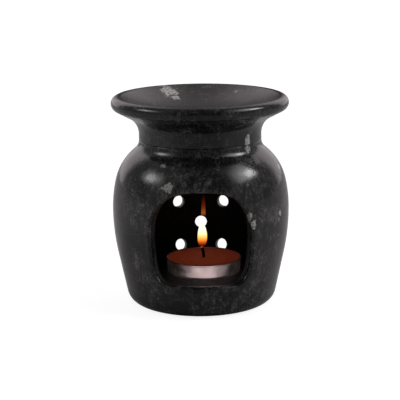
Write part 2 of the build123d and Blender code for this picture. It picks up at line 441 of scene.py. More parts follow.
@dataclass
class Pot:
    """The turned and hollowed pot, with its window and its vents.

    Each spacing is that of mesh rows on a straight run, and the further rows for each radian of bend.
    The polish ends, and the chamber's painted shade starts, at its depth above the chamber's zone of
    openings.
    """

    belly_radius: float = 43.9
    belly_height: float = 47.6
    base_inset: float = 13.5
    foot_round: float = 7.1
    neck_radius: float = 30.3
    neck_round: float = 6.4
    seam_height: float = 82.2
    seam_ease: float = 0.45
    flank_curve_share: float = 0.78
    belly_curve_share: float = 1.464
    shoulder_curve_share: float = 0.606
    wall: float = 5.0
    floor_height: float = 14.3
    floor_corner: float = 3.0
    neck_land: float = 5.8
    window_half_width: float = 24.9
    window_waist_height: float = 38.0
    crown_height: float = 63.2
    sill_height: float = 16.6
    window_corner: float = 9.5
    crown_pull_share: float = 0.66
    quarter_round_share: float = 0.5523
    window_ease: float = 1.2
    window_inner_ease: float = 0.8
    vent_radius: float = 3.1
    vent_middle_height: float = 29.8
    vent_row_rise: float = 11.6
    vent_side_angle: float = 17.2
    vent_ease: float = 0.4
    columns: int = 288
    outer_zone_low: float = 12.4
    inner_zone_low: float = 14.55
    zone_high: float = 67.6
    zone_rows: int = 62
    foot_spacing: Point = (1.6, 8.0)
    zone_spacing: Point = (1.0, 0.0)
    neck_spacing: Point = (1.0, 5.0)
    floor_spacing: Point = (1.8, 6.0)
    polish_and_shade_depth: float = 6.0

    def __post_init__(self) -> None:
        """Work out the centres of the side's arcs and both faces' outlines."""
        across, drop = self.base_inset, self.belly_height - self.foot_round
        single = (across**2 + drop**2 - self.foot_round**2) / (2 * (across - self.foot_round))
        self.flank_curve = self.flank_curve_share * single
        across = self.belly_radius - self.neck_radius - self.neck_round
        climb = self.seam_height - self.belly_height
        single = (across**2 + climb**2 - self.neck_round**2) / (2 * (across + self.neck_round))
        self.belly_curve = self.belly_curve_share * single
        self.shoulder_curve = self.shoulder_curve_share * single
        self.foot_centre = (self.belly_radius - self.base_inset, self.foot_round)
        self.flank_centre = (self.belly_radius - self.flank_curve, self.belly_height)
        self.belly_centre = (self.belly_radius - self.belly_curve, self.belly_height)
        self.neck_centre = (self.neck_radius + self.neck_round, self.seam_height)
        span, fall = bearing(self.flank_centre, self.foot_centre)
        self.lean = -fall - math.degrees(math.acos((self.flank_curve - self.foot_round) / span))
        span, rise = bearing(self.belly_centre, self.neck_centre)
        inner, outer = self.belly_curve - self.shoulder_curve, self.shoulder_curve + self.neck_round
        self.belly_turn = rise - math.degrees(math.acos((inner**2 + span**2 - outer**2) / (2 * inner * span)))
        self.shoulder_centre = bearing_point(self.belly_centre, self.belly_turn, inner)
        _, self.neck_turn = bearing(self.shoulder_centre, self.neck_centre)
        self.mouth_radius = self.neck_radius - self.neck_land
        self.jamb_depth = math.sqrt(self.belly_radius**2 - self.window_half_width**2)
        self.outline = self.whole_outline()
        self.faces_of_wall = {
            Side.OUTER: self.face_by_height(self.outer_runs(), {}),
            Side.INNER: self.face_by_height(self.inner_runs(), {1: self.floor_corner}),
        }

    def side(self, inset: float, top: float) -> list[Array]:
        """Make the side's runs from the foot's cone to the shoulder, moved into the wall by an inset."""
        foot = bearing_point(self.foot_centre, -self.lean, self.foot_round - inset)
        flank = bearing_point(self.flank_centre, -self.lean, self.flank_curve - inset)
        return [
            *straight(foot, flank),
            arc(self.flank_centre, self.flank_curve - inset, -self.lean, 0.0),
            arc(self.belly_centre, self.belly_curve - inset, 0.0, self.belly_turn),
            arc(self.shoulder_centre, self.shoulder_curve - inset, self.belly_turn, top),
        ]

    def outer_runs(self) -> list[Array]:
        """Make the runs of the outer face, from the base to the top of the neck."""
        return [
            arc(self.foot_centre, self.foot_round, -90.0, -self.lean),
            *self.side(0.0, self.neck_turn),
            arc(self.neck_centre, self.neck_round, 180.0 + self.neck_turn, 180.0),
        ]

    def inner_runs(self) -> list[Array]:
        """Make the runs of the chamber, from the middle of its floor to where the mouth starts."""
        reach = (self.mouth_radius - self.shoulder_centre[0]) / (self.shoulder_curve - self.wall)
        side = self.side(self.wall, math.degrees(math.acos(reach)))
        above = joined(side, {})
        kept = above[above[:, 1] > self.floor_height]
        start = np.interp(self.floor_height, above[:, 1], above[:, 0])
        kept = np.concatenate([[[start, self.floor_height]], kept])
        return [*straight((0.0, self.floor_height), (start, self.floor_height)), kept]

    def whole_outline(self) -> Outline:
        """Make the closed section of the wall, from under the pot round its mouth to its floor."""
        inner = joined(self.inner_runs(), {1: self.floor_corner})[::-1]
        mouth = (self.mouth_radius, inner[0, 1])
        runs = [
            *straight((0.0, 0.0), self.foot_centre_below()),
            *self.outer_runs(),
            *straight((self.neck_radius, self.seam_height), (self.mouth_radius, self.seam_height), mouth),
            inner,
        ]
        corner = len(runs) - 3
        ease = self.seam_ease
        return Outline(joined(runs, {corner: ease, corner + 1: ease, corner + 2: ease}))

    def foot_centre_below(self) -> Point:
        """Return where the foot's round meets the table."""
        return (self.foot_centre[0], 0.0)

    @staticmethod
    def face_by_height(runs: Sequence[Array], rounds: dict[int, float]) -> tuple[Array, Array, Array]:
        """Tabulate one face of the wall: its heights, its radii and its outward directions."""
        outline = Outline(joined(runs, rounds))
        rising = np.concatenate([[False], np.diff(outline.line[:, 1]) > LEVEL])
        return outline.line[rising, 1], outline.line[rising, 0], outline.outward[rising]

    def on_face(self, side: Side, turn: Array, height: Array) -> tuple[Array, Array]:
        """Return places and outward directions on a face of the wall, by turn and height."""
        heights, radii, aims = self.faces_of_wall[side]
        point = np.stack([np.interp(height, heights, radii), height], axis=-1)
        sign = 1.0 if side is Side.OUTER else -1.0
        aim = sign * np.stack([np.interp(height, heights, aims[:, k]) for k in (0, 1)], axis=-1)
        return around(point, unit(aim), turn)

    def window_rim(self) -> Callable[[Array, Side], Array]:
        """Make the rim of the window.

        Its outline is drawn across the belly: two upright jambs, two quarter rounds down to the
        sill and a crown of two curves. Seen from the axis it covers the same turns and heights on
        both faces of the wall, because the cut narrows towards the axis.

        Returns:
            Function from an angle round the window's middle and a face to places on that face.
        """
        half, waist, crown = self.window_half_width, self.window_waist_height, self.crown_height
        corner, keep = self.window_corner, 1.0 - self.quarter_round_share
        sill, pull = self.sill_height, self.crown_pull_share
        foot, side, shoulder = (half - corner, sill), (half, sill + corner), (half, waist)
        right = np.concatenate([
            *straight((0.0, sill), foot, count=400),
            cubic(foot, (half - keep * corner, sill), (half, sill + keep * corner), side, count=800),
            *straight(side, shoulder, count=400),
            cubic(shoulder, (half, waist + pull * (crown - waist)), (pull * half, crown), (0.0, crown),
                  count=800),
        ])
        loop = np.concatenate([right, right[::-1] * np.array([-1.0, 1.0])])
        turn = np.arctan(loop[:, 0] / self.jamb_depth)
        angle = np.unwrap(np.arctan2(loop[:, 1] - waist, turn * self.belly_radius))
        order = np.argsort(angle)
        angle, turn, height = angle[order], turn[order], loop[order, 1]
        angle = np.concatenate([angle - 2 * math.pi, angle, angle + 2 * math.pi])
        turn, height = np.tile(turn, 3), np.tile(height, 3)

        def rim(at: Array, side: Side) -> Array:
            """Return the rim's places at angles round the window's middle."""
            sweep = np.interp(at, angle, turn) + math.radians(FRONT)
            return self.on_face(side, sweep, np.interp(at, angle, height))[0]

        return rim

    def vent_rim(self, turn: float, height: float) -> Callable[[Array, Side], Array]:
        """Make the rim of a vent that is drilled square to the wall.

        Each line along the drill's side is followed to the face of the wall by repeated steps, each
        of the distance still missing.

        Args:
            turn: Turn of the vent's middle from the back.
            height: Height of the vent's middle on the outer face.

        Returns:
            Function from an angle round the vent's middle and a face to places on that face.
        """
        sweep = np.array(math.radians(BACK + turn))
        middle, aim = self.on_face(Side.OUTER, sweep, np.array(height))
        across = np.array([-math.sin(sweep), math.cos(sweep), 0.0])
        upward = np.cross(aim, across)
        upward *= np.sign(upward[2])

        def rim(at: Array, side: Side) -> Array:
            """Return the rim's places at angles round the vent's middle."""
            spoke = self.vent_radius * (np.cos(at)[..., None] * across + np.sin(at)[..., None] * upward)
            depth = np.full(np.shape(at), 0.0 if side is Side.OUTER else self.wall)
            for _ in range(DRILL_STEPS):
                place = middle + spoke - depth[..., None] * aim
                radius = np.hypot(place[..., 0], place[..., 1])
                wanted, facing = self.on_face(side, np.arctan2(place[..., 1], place[..., 0]), place[..., 2])
                depth = depth + (radius - np.hypot(wanted[..., 0], wanted[..., 1]))
            return middle + spoke - depth[..., None] * aim

        return rim

    def openings(self) -> list[Opening]:
        """List the window and the five vents."""
        eases = {Side.OUTER: self.window_ease, Side.INNER: self.window_inner_ease}
        middle = {Side.OUTER: self.window_waist_height, Side.INNER: self.window_waist_height}
        found = [Opening(FRONT, middle, self.window_rim(), eases, columns=32, rows=0, rings=12, spread=1.35)]
        eases = {Side.OUTER: self.vent_ease, Side.INNER: self.vent_ease}
        rows = ((-1, (-1, 1)), (0, (0,)), (1, (-1, 1)))
        for row, places in rows:
            height = self.vent_middle_height + row * self.vent_row_rise
            _, aim = self.on_face(Side.OUTER, np.array(0.0), np.array(height))
            inner = height - self.wall * float(aim[2])
            for place in places:
                turn = place * self.vent_side_angle
                found.append(Opening(
                    BACK + turn, {Side.OUTER: height, Side.INNER: inner}, self.vent_rim(turn, height),
                    eases, columns=7, rows=5, rings=4,
                ))
        return found

    def build(self) -> Piece:
        """Make the pot's mesh: a turned grid with a ring of faces and a lining at each opening."""
        high = self.zone_high
        outline = self.outline
        peak = int(np.argmax(outline.line[:, 1]))
        outer_z, inner_z = outline.line[:peak, 1], outline.line[peak:, 1]
        o_low, o_high = np.interp([self.outer_zone_low, high], outer_z, outline.way[:peak])
        i_high, i_low = np.interp([-high, -self.inner_zone_low], -inner_z, outline.way[peak:])
        parts = [
            outline.rows(0.0, o_low, *self.foot_spacing)[:-1],
            outline.rows(o_low, o_high, *self.zone_spacing, self.zone_rows)[:-1],
            outline.rows(o_high, i_high, *self.neck_spacing)[:-1],
            outline.rows(i_high, i_low, *self.zone_spacing, self.zone_rows)[:-1],
            outline.rows(i_low, outline.way[-1], *self.floor_spacing),
        ]
        way = np.concatenate(parts)
        zone = {
            Side.OUTER: np.arange(len(parts[0]), len(parts[0]) + self.zone_rows + 1),
            Side.INNER: np.arange(self.zone_rows + 1) + sum(len(part) for part in parts[:3]),
        }
        zone[Side.INNER] = zone[Side.INNER][::-1]
        points, normals = outline.at(way)
        turns = math.radians(FRONT) + 2 * math.pi * np.arange(self.columns) / self.columns
        skin = Skin()
        # The chamber's mark: rougher, and darkened as painted shade.
        inside = (way > i_high - self.polish_and_shade_depth).astype(float)
        place, aim = around(points[1:-1, None], normals[1:-1, None], turns[None, :])
        index = np.zeros((len(way), self.columns), dtype=int)
        index[1:-1] = skin.add(place, aim, inside[1:-1, None])
        keep = np.ones((len(way) - 1, self.columns), dtype=bool)
        keep[0] = keep[-1] = False
        for opening in self.openings():
            self.cut(skin, index, keep, zone, turns, points, opening)
        skin.grid(index, closed=True, keep=keep)
        for row, ring, up in ((0, index[1], -1.0), (-1, index[-2], 1.0)):
            skin.cap(ring, np.array([0.0, 0.0, points[row, 1]]), np.array([0.0, 0.0, up]), inside[row])
        return skin.build("pot_marble")

    def cut(self, skin: Skin, index: Array, keep: Array, zone: dict[Side, Array], turns: Array,
            points: Array, opening: Opening) -> None:
        """Take the grid's cells away round an opening, and face the opening's edge and lining.

        On each face of the wall the cells' border loop is joined to the rim by rows of places whose
        turn and height run evenly from one to the other. The rim's round is part of a circle in the
        plane square to the rim, and the lining runs straight through the wall.

        Args:
            skin: Mesh that is being made.
            index: Point indices of the grid.
            keep: Mask of the grid's cells that get a face.
            zone: Grid rows that the openings lie in, from the lowest up, for each face of the wall.
            turns: Turn of each grid column.
            points: Outline points of the grid's rows.
            opening: The opening.
        """
        column = int(round((opening.centre_turn - FRONT) / 360.0 * self.columns))
        span = np.arange(column - opening.columns, column + opening.columns + 1)
        centre_turn = math.radians(opening.centre_turn)
        at: Optional[Array] = None
        ends: list[tuple[Array, Array, Array]] = []
        for side in (Side.OUTER, Side.INNER):
            rows = zone[side]
            if opening.rows:
                middle = int(np.argmin(np.abs(points[rows, 1] - opening.centre_height[side])))
                rows = rows[middle - opening.rows: middle + opening.rows + 1]
            cell_rows = np.minimum(rows[:-1], rows[1:])
            keep[np.ix_(cell_rows, span[:-1] % self.columns)] = False
            row_loop = np.concatenate([
                np.full(len(span) - 1, 0), np.arange(len(rows) - 1),
                np.full(len(span) - 1, len(rows) - 1), np.arange(len(rows) - 1, 0, -1),
            ])
            span_loop = np.concatenate([
                np.arange(len(span) - 1), np.full(len(rows) - 1, len(span) - 1),
                np.arange(len(span) - 1, 0, -1), np.full(len(rows) - 1, 0),
            ])
            border = index[rows[row_loop], span[span_loop] % self.columns]
            border_turn = turns[0] + 2 * math.pi * span[span_loop] / self.columns
            border_height = points[rows[row_loop], 1]
            if at is None:
                at = np.arctan2(
                    (border_height - opening.centre_height[side]) * opening.spread,
                    (border_turn - centre_turn) * self.belly_radius,
                )
            ends.append(self.edge(skin, border, border_turn, border_height, at, side, opening))
        (outer_ring, outer_place, outer_aim), (inner_ring, inner_place, inner_aim) = ends
        share = np.linspace(0.0, 1.0, LINING_STEPS + 1)[1:-1, None, None]
        place = outer_place * (1 - share) + inner_place * share
        aim = unit(outer_aim * (1 - share) + inner_aim * share)
        # The lining's mark rises through the wall, so its painted shade deepens inwards.
        lining = skin.add(place, aim, share[..., 0])
        skin.grid(np.concatenate([outer_ring[None], lining, inner_ring[None]]), closed=True)

    def edge(self, skin: Skin, border: Array, border_turn: Array, border_height: Array, at: Array,
             side: Side, opening: Opening) -> tuple[Array, Array, Array]:
        """Face one face of the wall from the cells' border to the end of the rim's round.

        Args:
            skin: Mesh that is being made.
            border: Point indices of the border loop.
            border_turn: Turns of the border's points.
            border_height: Heights of the border's points.
            at: Angles round the opening's middle of the rim's points.
            side: Face of the wall.
            opening: The opening.

        Returns:
            Indices, places and directions of the loop where the lining starts.
        """
        other = Side.INNER if side is Side.OUTER else Side.OUTER
        rim = opening.rim(at, side)
        along = unit(opening.rim(at + RIM_PROBE, side) - opening.rim(at - RIM_PROBE, side))
        rim_turn = np.arctan2(rim[:, 1], rim[:, 0])
        _, facing = self.on_face(side, rim_turn, rim[:, 2])
        away = unit(np.cross(along, facing))
        outward = rim - rim.mean(axis=0)
        away *= np.sign(np.einsum("ij,ij->i", away, outward))[:, None]
        through = opening.rim(at, other) - rim
        through = unit(through - np.einsum("ij,ij->i", through, along)[:, None] * along)
        wedge = np.arccos(np.clip(np.einsum("ij,ij->i", away, through), -1.0, 1.0))[:, None]
        ease = opening.eases[side]
        centre = rim + unit(away + through) * ease / np.sin(wedge / 2)
        first, last = rim + away * ease / np.tan(wedge / 2), rim + through * ease / np.tan(wedge / 2)
        first_turn = np.arctan2(first[:, 1], first[:, 0])
        first, facing = self.on_face(side, first_turn, first[:, 2])
        last_aim = unit(last - centre)
        swing = swung(unit(first - centre), last_aim, ROUND_STEPS)
        round_place = centre + ease * swing
        round_place[0], round_aim = first, swing.copy()
        round_aim[0] = facing
        # The inner face's round gets the chamber's mark, which darkens it as painted shade.
        mark = 0.0 if side is Side.OUTER else 1.0
        round_index = skin.add(round_place, round_aim, mark)
        apart = np.angle(np.exp(1j * (border_turn - first_turn)))
        share = np.linspace(0.0, 1.0, opening.rings + 1)[1:-1, None] ** RING_CROWDING
        ring_turn = first_turn + share * apart
        ring_height = first[:, 2] + share * (border_height - first[:, 2])
        place, aim = self.on_face(side, ring_turn, ring_height)
        ring_index = skin.add(place, aim, mark)
        skin.grid(np.concatenate([border[None], ring_index[::-1], round_index]), closed=True)
        return round_index[-1], last, last_aim


# Dish


@dataclass
class Dish:
    """The lift-off dish, with its rim, its cove and the spigot that seats in the pot's mouth."""

    pot: Pot
    dish_height: float = 21.6
    rim_overhang: float = 13.5
    rim_round: float = 3.5
    bowl_depth: float = 9.0
    bowl_floor: float = 6.0
    underside_angle: float = 28.0
    cove_radius: float = 10.0
    spigot_length: float = 5.0
    spigot_clearance: float = 0.35
    spigot_wall: float = 5.0
    spigot_ease: float = 0.5
    recess_corner: float = 4.0
    seam_ease: float = 0.45
    spigot_root: float = 0.15

    def outline(self) -> Outline:
        """Make the dish's section, from the top of its recess round the rim to the bowl's middle."""
        seam, neck = self.pot.seam_height, self.pot.neck_radius
        slope = math.radians(self.underside_angle)
        top = seam + self.dish_height
        bowl_foot = top - self.bowl_depth
        rim = (neck + self.rim_overhang - self.rim_round, top - self.rim_round)
        drop = rim[1] - bowl_foot
        bowl_radius = (rim[0] ** 2 + drop**2 - self.rim_round**2) / (2 * (self.rim_round + drop))
        bowl_top = (0.0, bowl_foot + bowl_radius)
        lip = math.degrees(math.atan2(bowl_top[1] - rim[1], rim[0]))
        under = bearing_point(rim, self.underside_angle - 90.0, self.rim_round)
        cove_x = neck + self.cove_radius
        cove_z = under[1] + ((cove_x - under[0]) * math.sin(slope) - self.cove_radius) / math.cos(slope)
        cove = (cove_x, cove_z)
        turn = 90.0 - self.underside_angle
        spigot = self.pot.mouth_radius - self.spigot_clearance
        foot = seam - self.spigot_length
        recess = spigot - self.spigot_wall
        dome = bowl_radius + self.bowl_floor
        edge = math.degrees(math.acos(recess / dome))
        recess_top = bearing_point(bowl_top, -edge, dome)
        runs = [
            arc(bowl_top, dome, -90.0, -edge),
            *straight(
                recess_top, (recess, foot), (spigot, foot), (spigot, seam), (neck, seam), (neck, cove_z),
            ),
            arc(cove, self.cove_radius, 180.0, 180.0 - turn),
            *straight(bearing_point(cove, 180.0 - turn, self.cove_radius), under),
            arc(rim, self.rim_round, -turn, 180.0 - lip),
            arc(bowl_top, bowl_radius, -lip, -90.0),
        ]
        ease = self.spigot_ease
        rounds = {1: self.recess_corner, 2: ease, 3: ease, 4: self.spigot_root, 5: self.seam_ease}
        return Outline(joined(runs, rounds))

    def build(self) -> Piece:
        """Make the dish's mesh."""
        return turned("dish_marble", self.outline(), columns=288, step=1.0, per_radian=7.0)


# Tealight


@dataclass
class Tealight:
    """The standard tealight: cup, wax, tab, wick and flame.

    Attributes:
        lap: Rise of the wax at the cup's side, and how fast it falls off.
        climb: Rise of the wax at the wick, and how fast it falls off.
        pool_sink: How far the melted pool lies below the wax's level.
        side_fade: Width over which the lap is brought down to the cup's side.
        strand_turns: Turns of the wick's strands along its length.
        groove: Depth of the grooves between them, as a share of the radius.
        worn: Share of the wick's length where it starts to be worn, and the share that it takes.
        frayed: How much of the radius is worn away, and how unevenly round the wick.
        flame_foot: Place across of the flame's middle line at its start, and that above the cup's lip.
        draught: Lean of the flame for each millimetre up, and its bend back with the share's square.
        flame_tilt: Upward part of the flame's outward directions.
    """

    seat: Triple = (1.2, 0.0, 14.3)
    cup_radius: float = 19.0
    cup_height: float = 7.5
    cup_draft: float = 0.5
    cup_skin: float = 0.4
    cup_corner: float = 1.6
    lip_bead: float = 0.7
    wax_gap: float = 0.08
    wax_drop: float = 0.5
    wick_radius: float = 0.8
    wick_rise: float = 5.6
    wick_bend_radius: float = 16.0
    tab_radius: float = 6.3
    tab_thickness: float = 0.3
    ferrule_radius: float = 1.4
    ferrule_height: float = 3.0
    ferrule_gap: float = 0.04
    columns: int = 192
    lap: Point = (0.22, 0.7)
    climb: Point = (0.3, 0.5)
    pool_sink: float = 0.25
    side_fade: float = 0.2
    strand_turns: float = 7.0
    groove: float = 0.12
    worn: Point = (0.93, 0.07)
    frayed: Point = (0.28, 0.5)
    flame_foot: Point = (-0.9, 4.0)
    draught: Point = (0.07, 0.9)
    flame_tilt: float = 0.2

    def cup_side(self) -> Point:
        """Return the cup's inner radius at its base and at its lip."""
        top = self.cup_radius - self.lip_bead
        return top - self.cup_draft, top

    def wax_level(self) -> float:
        """Return the height of the wax above the cup's base."""
        return self.cup_height - self.wax_drop

    def build_cup(self) -> Piece:
        """Make the drawn cup: a skin with rounded corners and a rolled bead at its lip."""
        base, top = self.cup_side()
        skin, height, bead, lip = self.cup_skin, self.cup_height, self.lip_bead, self.cup_radius
        runs = straight(
            (0.0, 0.0), (base + skin, 0.0), (top + skin - 0.1, height - bead), (lip, height - bead),
            (lip, height), (top, height), (base, skin), (0.0, skin),
        )
        rounds = {1: self.cup_corner, 2: 0.12, 3: 0.3, 4: 0.33, 5: 0.25, 6: self.cup_corner}
        return turned("tealight_tin", Outline(joined(runs, rounds)), self.columns, 0.8, 5.0, self.seat)

    def build_wax(self) -> Piece:
        """Make the wax, with a melted pool that climbs the cup's side and the wick."""
        base, top = self.cup_side()
        level, gap, skin = self.wax_level(), self.wax_gap, self.cup_skin
        side_top = base + (top - base) * (level - skin) / (self.cup_height - skin) - gap
        r = np.linspace(side_top, self.wick_radius + gap, 400)
        (lap, lap_fade), (rise, rise_fade) = self.lap, self.climb
        climb = lap * np.exp(-(side_top - r) / lap_fade) + rise * np.exp(-(r - r[-1]) / rise_fade)
        climb -= self.pool_sink
        surface = np.stack([r, level + climb - climb[0] * np.exp(-(side_top - r) / self.side_fade)], axis=-1)
        bore, neck, tab = self.wick_radius + gap, self.ferrule_radius + gap, self.tab_radius + gap
        tab_top, ferrule_top = skin + self.tab_thickness + gap, skin + self.ferrule_height + gap
        runs = [
            *straight((tab, skin), (base - gap, skin), (side_top, level)),
            surface,
            *straight(tuple(surface[-1]), (bore, ferrule_top), (neck, ferrule_top), (neck, tab_top),
                      (tab, tab_top), (tab, skin)),
        ]
        rounds = {1: self.cup_corner, 2: 0.12, 4: 0.05, 5: 0.1, 6: 0.1, 7: 0.1}
        return turned("tealight_wax_pool", Outline(joined(runs, rounds)), self.columns, 0.6, 5.0, self.seat)

    def build_tab(self) -> Piece:
        """Make the pressed tab with its ferrule."""
        bore = self.wick_radius + self.ferrule_gap
        skin = self.cup_skin
        tab_top, ferrule_top = skin + self.tab_thickness, skin + self.ferrule_height
        runs = straight(
            (bore, skin), (self.tab_radius, skin), (self.tab_radius, tab_top), (self.ferrule_radius, tab_top),
            (self.ferrule_radius, ferrule_top), (bore, ferrule_top), (bore, skin),
        )
        rounds = {1: 0.08, 2: 0.08, 3: 0.25, 4: 0.1, 5: 0.1}
        return turned("tealight_tab", Outline(joined(runs, rounds)), self.columns // 2, 0.5, 3.0, self.seat)

    def wick_path(self, share: Array) -> tuple[Array, Array]:
        """Return the wick's middle line and its direction, by the share of its whole length.

        It is upright up to the wax and then follows part of a circle that leans to the left.

        Args:
            share: Share of the length, from the cup's base to the free end.

        Returns:
            Places and unit directions.
        """
        stem = self.wax_level() - self.cup_skin
        way = share * (stem + self.wick_rise)
        turn = np.maximum(way - stem, 0.0) / self.wick_bend_radius
        x = -self.wick_bend_radius * (1.0 - np.cos(turn))
        z = self.cup_skin + np.minimum(way, stem) + self.wick_bend_radius * np.sin(turn)
        place = np.stack([x, np.zeros_like(x), z], axis=-1)
        return place, np.stack([-np.sin(turn), np.zeros_like(x), np.cos(turn)], axis=-1)

    def build_wick(self) -> Piece:
        """Make the wick: a three-strand braid carried along its path, with a worn free end.

        The radius is the wick's own, less a groove between the strands: the groove's depth follows
        the cosine of three times the angle round the wick, turned as the strands wind upwards.

        Returns:
            The new object.
        """
        rows, columns = 120, 36
        share = np.linspace(0.0, 1.0, rows)
        middle, along = self.wick_path(share)
        side = np.array([0.0, 1.0, 0.0])
        other = np.cross(along, side)
        turn = 2 * math.pi * np.arange(columns)[None, :] / columns
        winding = 2 * math.pi * share[:, None] * self.strand_turns
        groove = self.groove * (1.0 - np.abs(np.cos(1.5 * (turn - winding))))
        (start, length), (loss, uneven) = self.worn, self.frayed
        free = np.clip((share[:, None] - start) / length, 0.0, 1.0)
        ragged = 1.0 - loss * free**2 * (1.0 + uneven * np.cos(5 * turn))
        radius = self.wick_radius * (1.0 - groove) * ragged
        spoke = np.cos(turn)[..., None] * side + np.sin(turn)[..., None] * other[:, None]
        place = middle[:, None] + radius[..., None] * spoke + np.asarray(self.seat)
        skin = Skin()
        index = skin.add(place, spoke, share[:, None])
        skin.grid(index, closed=True)
        for row, aim, mark in ((0, -along[0], 0.0), (-1, along[-1], 1.0)):
            skin.cap(index[row], middle[row] + np.asarray(self.seat), aim, mark)
        return skin.build("tealight_braid")

    def build_flame(self, name: str, swell: float, low: float, high: float, powers: Point) -> Piece:
        """Make one shell of the flame.

        Its radius rises as a power of the share of its height, and falls back to a drawn-out tip.
        Its middle line starts at the wick's free end and leans with the draught.

        Args:
            name: Name of the piece.
            swell: Largest radius.
            low: Height of its foot above the cup's base.
            high: Height of its tip above the cup's base.
            powers: Powers of the share of its height from the foot and from the tip.

        Returns:
            The new object.
        """
        rows, columns = 96, 48
        share = np.linspace(0.0, 1.0, rows)[:, None]
        turn = 2 * math.pi * np.arange(columns)[None, :] / columns
        body = share**powers[0] * (1.0 - share) ** powers[1]
        radius = swell * body / body.max()
        height = low + share * (high - low)
        (across, above), (drift, curl) = self.flame_foot, self.draught
        lean = across + drift * (height - (self.cup_height + above)) - curl * share**2
        x = lean + radius * np.cos(turn)
        y = radius * np.sin(turn)
        place = np.stack(np.broadcast_arrays(x, y, height + 0.0 * turn), axis=-1) + np.asarray(self.seat)
        out = np.broadcast_arrays(np.cos(turn), np.sin(turn), self.flame_tilt + 0.0 * share)
        aim = np.stack(out, axis=-1)
        skin = Skin()
        index = skin.add(place[1:-1], unit(aim[1:-1]), share[1:-1])
        skin.grid(index, closed=True)
        for row, up in ((0, -1.0), (-1, 1.0)):
            skin.cap(index[row], place[row, 0], np.array([0.0, 0.0, up]), float(share[row, 0]))
        return skin.build(name)


# Materials


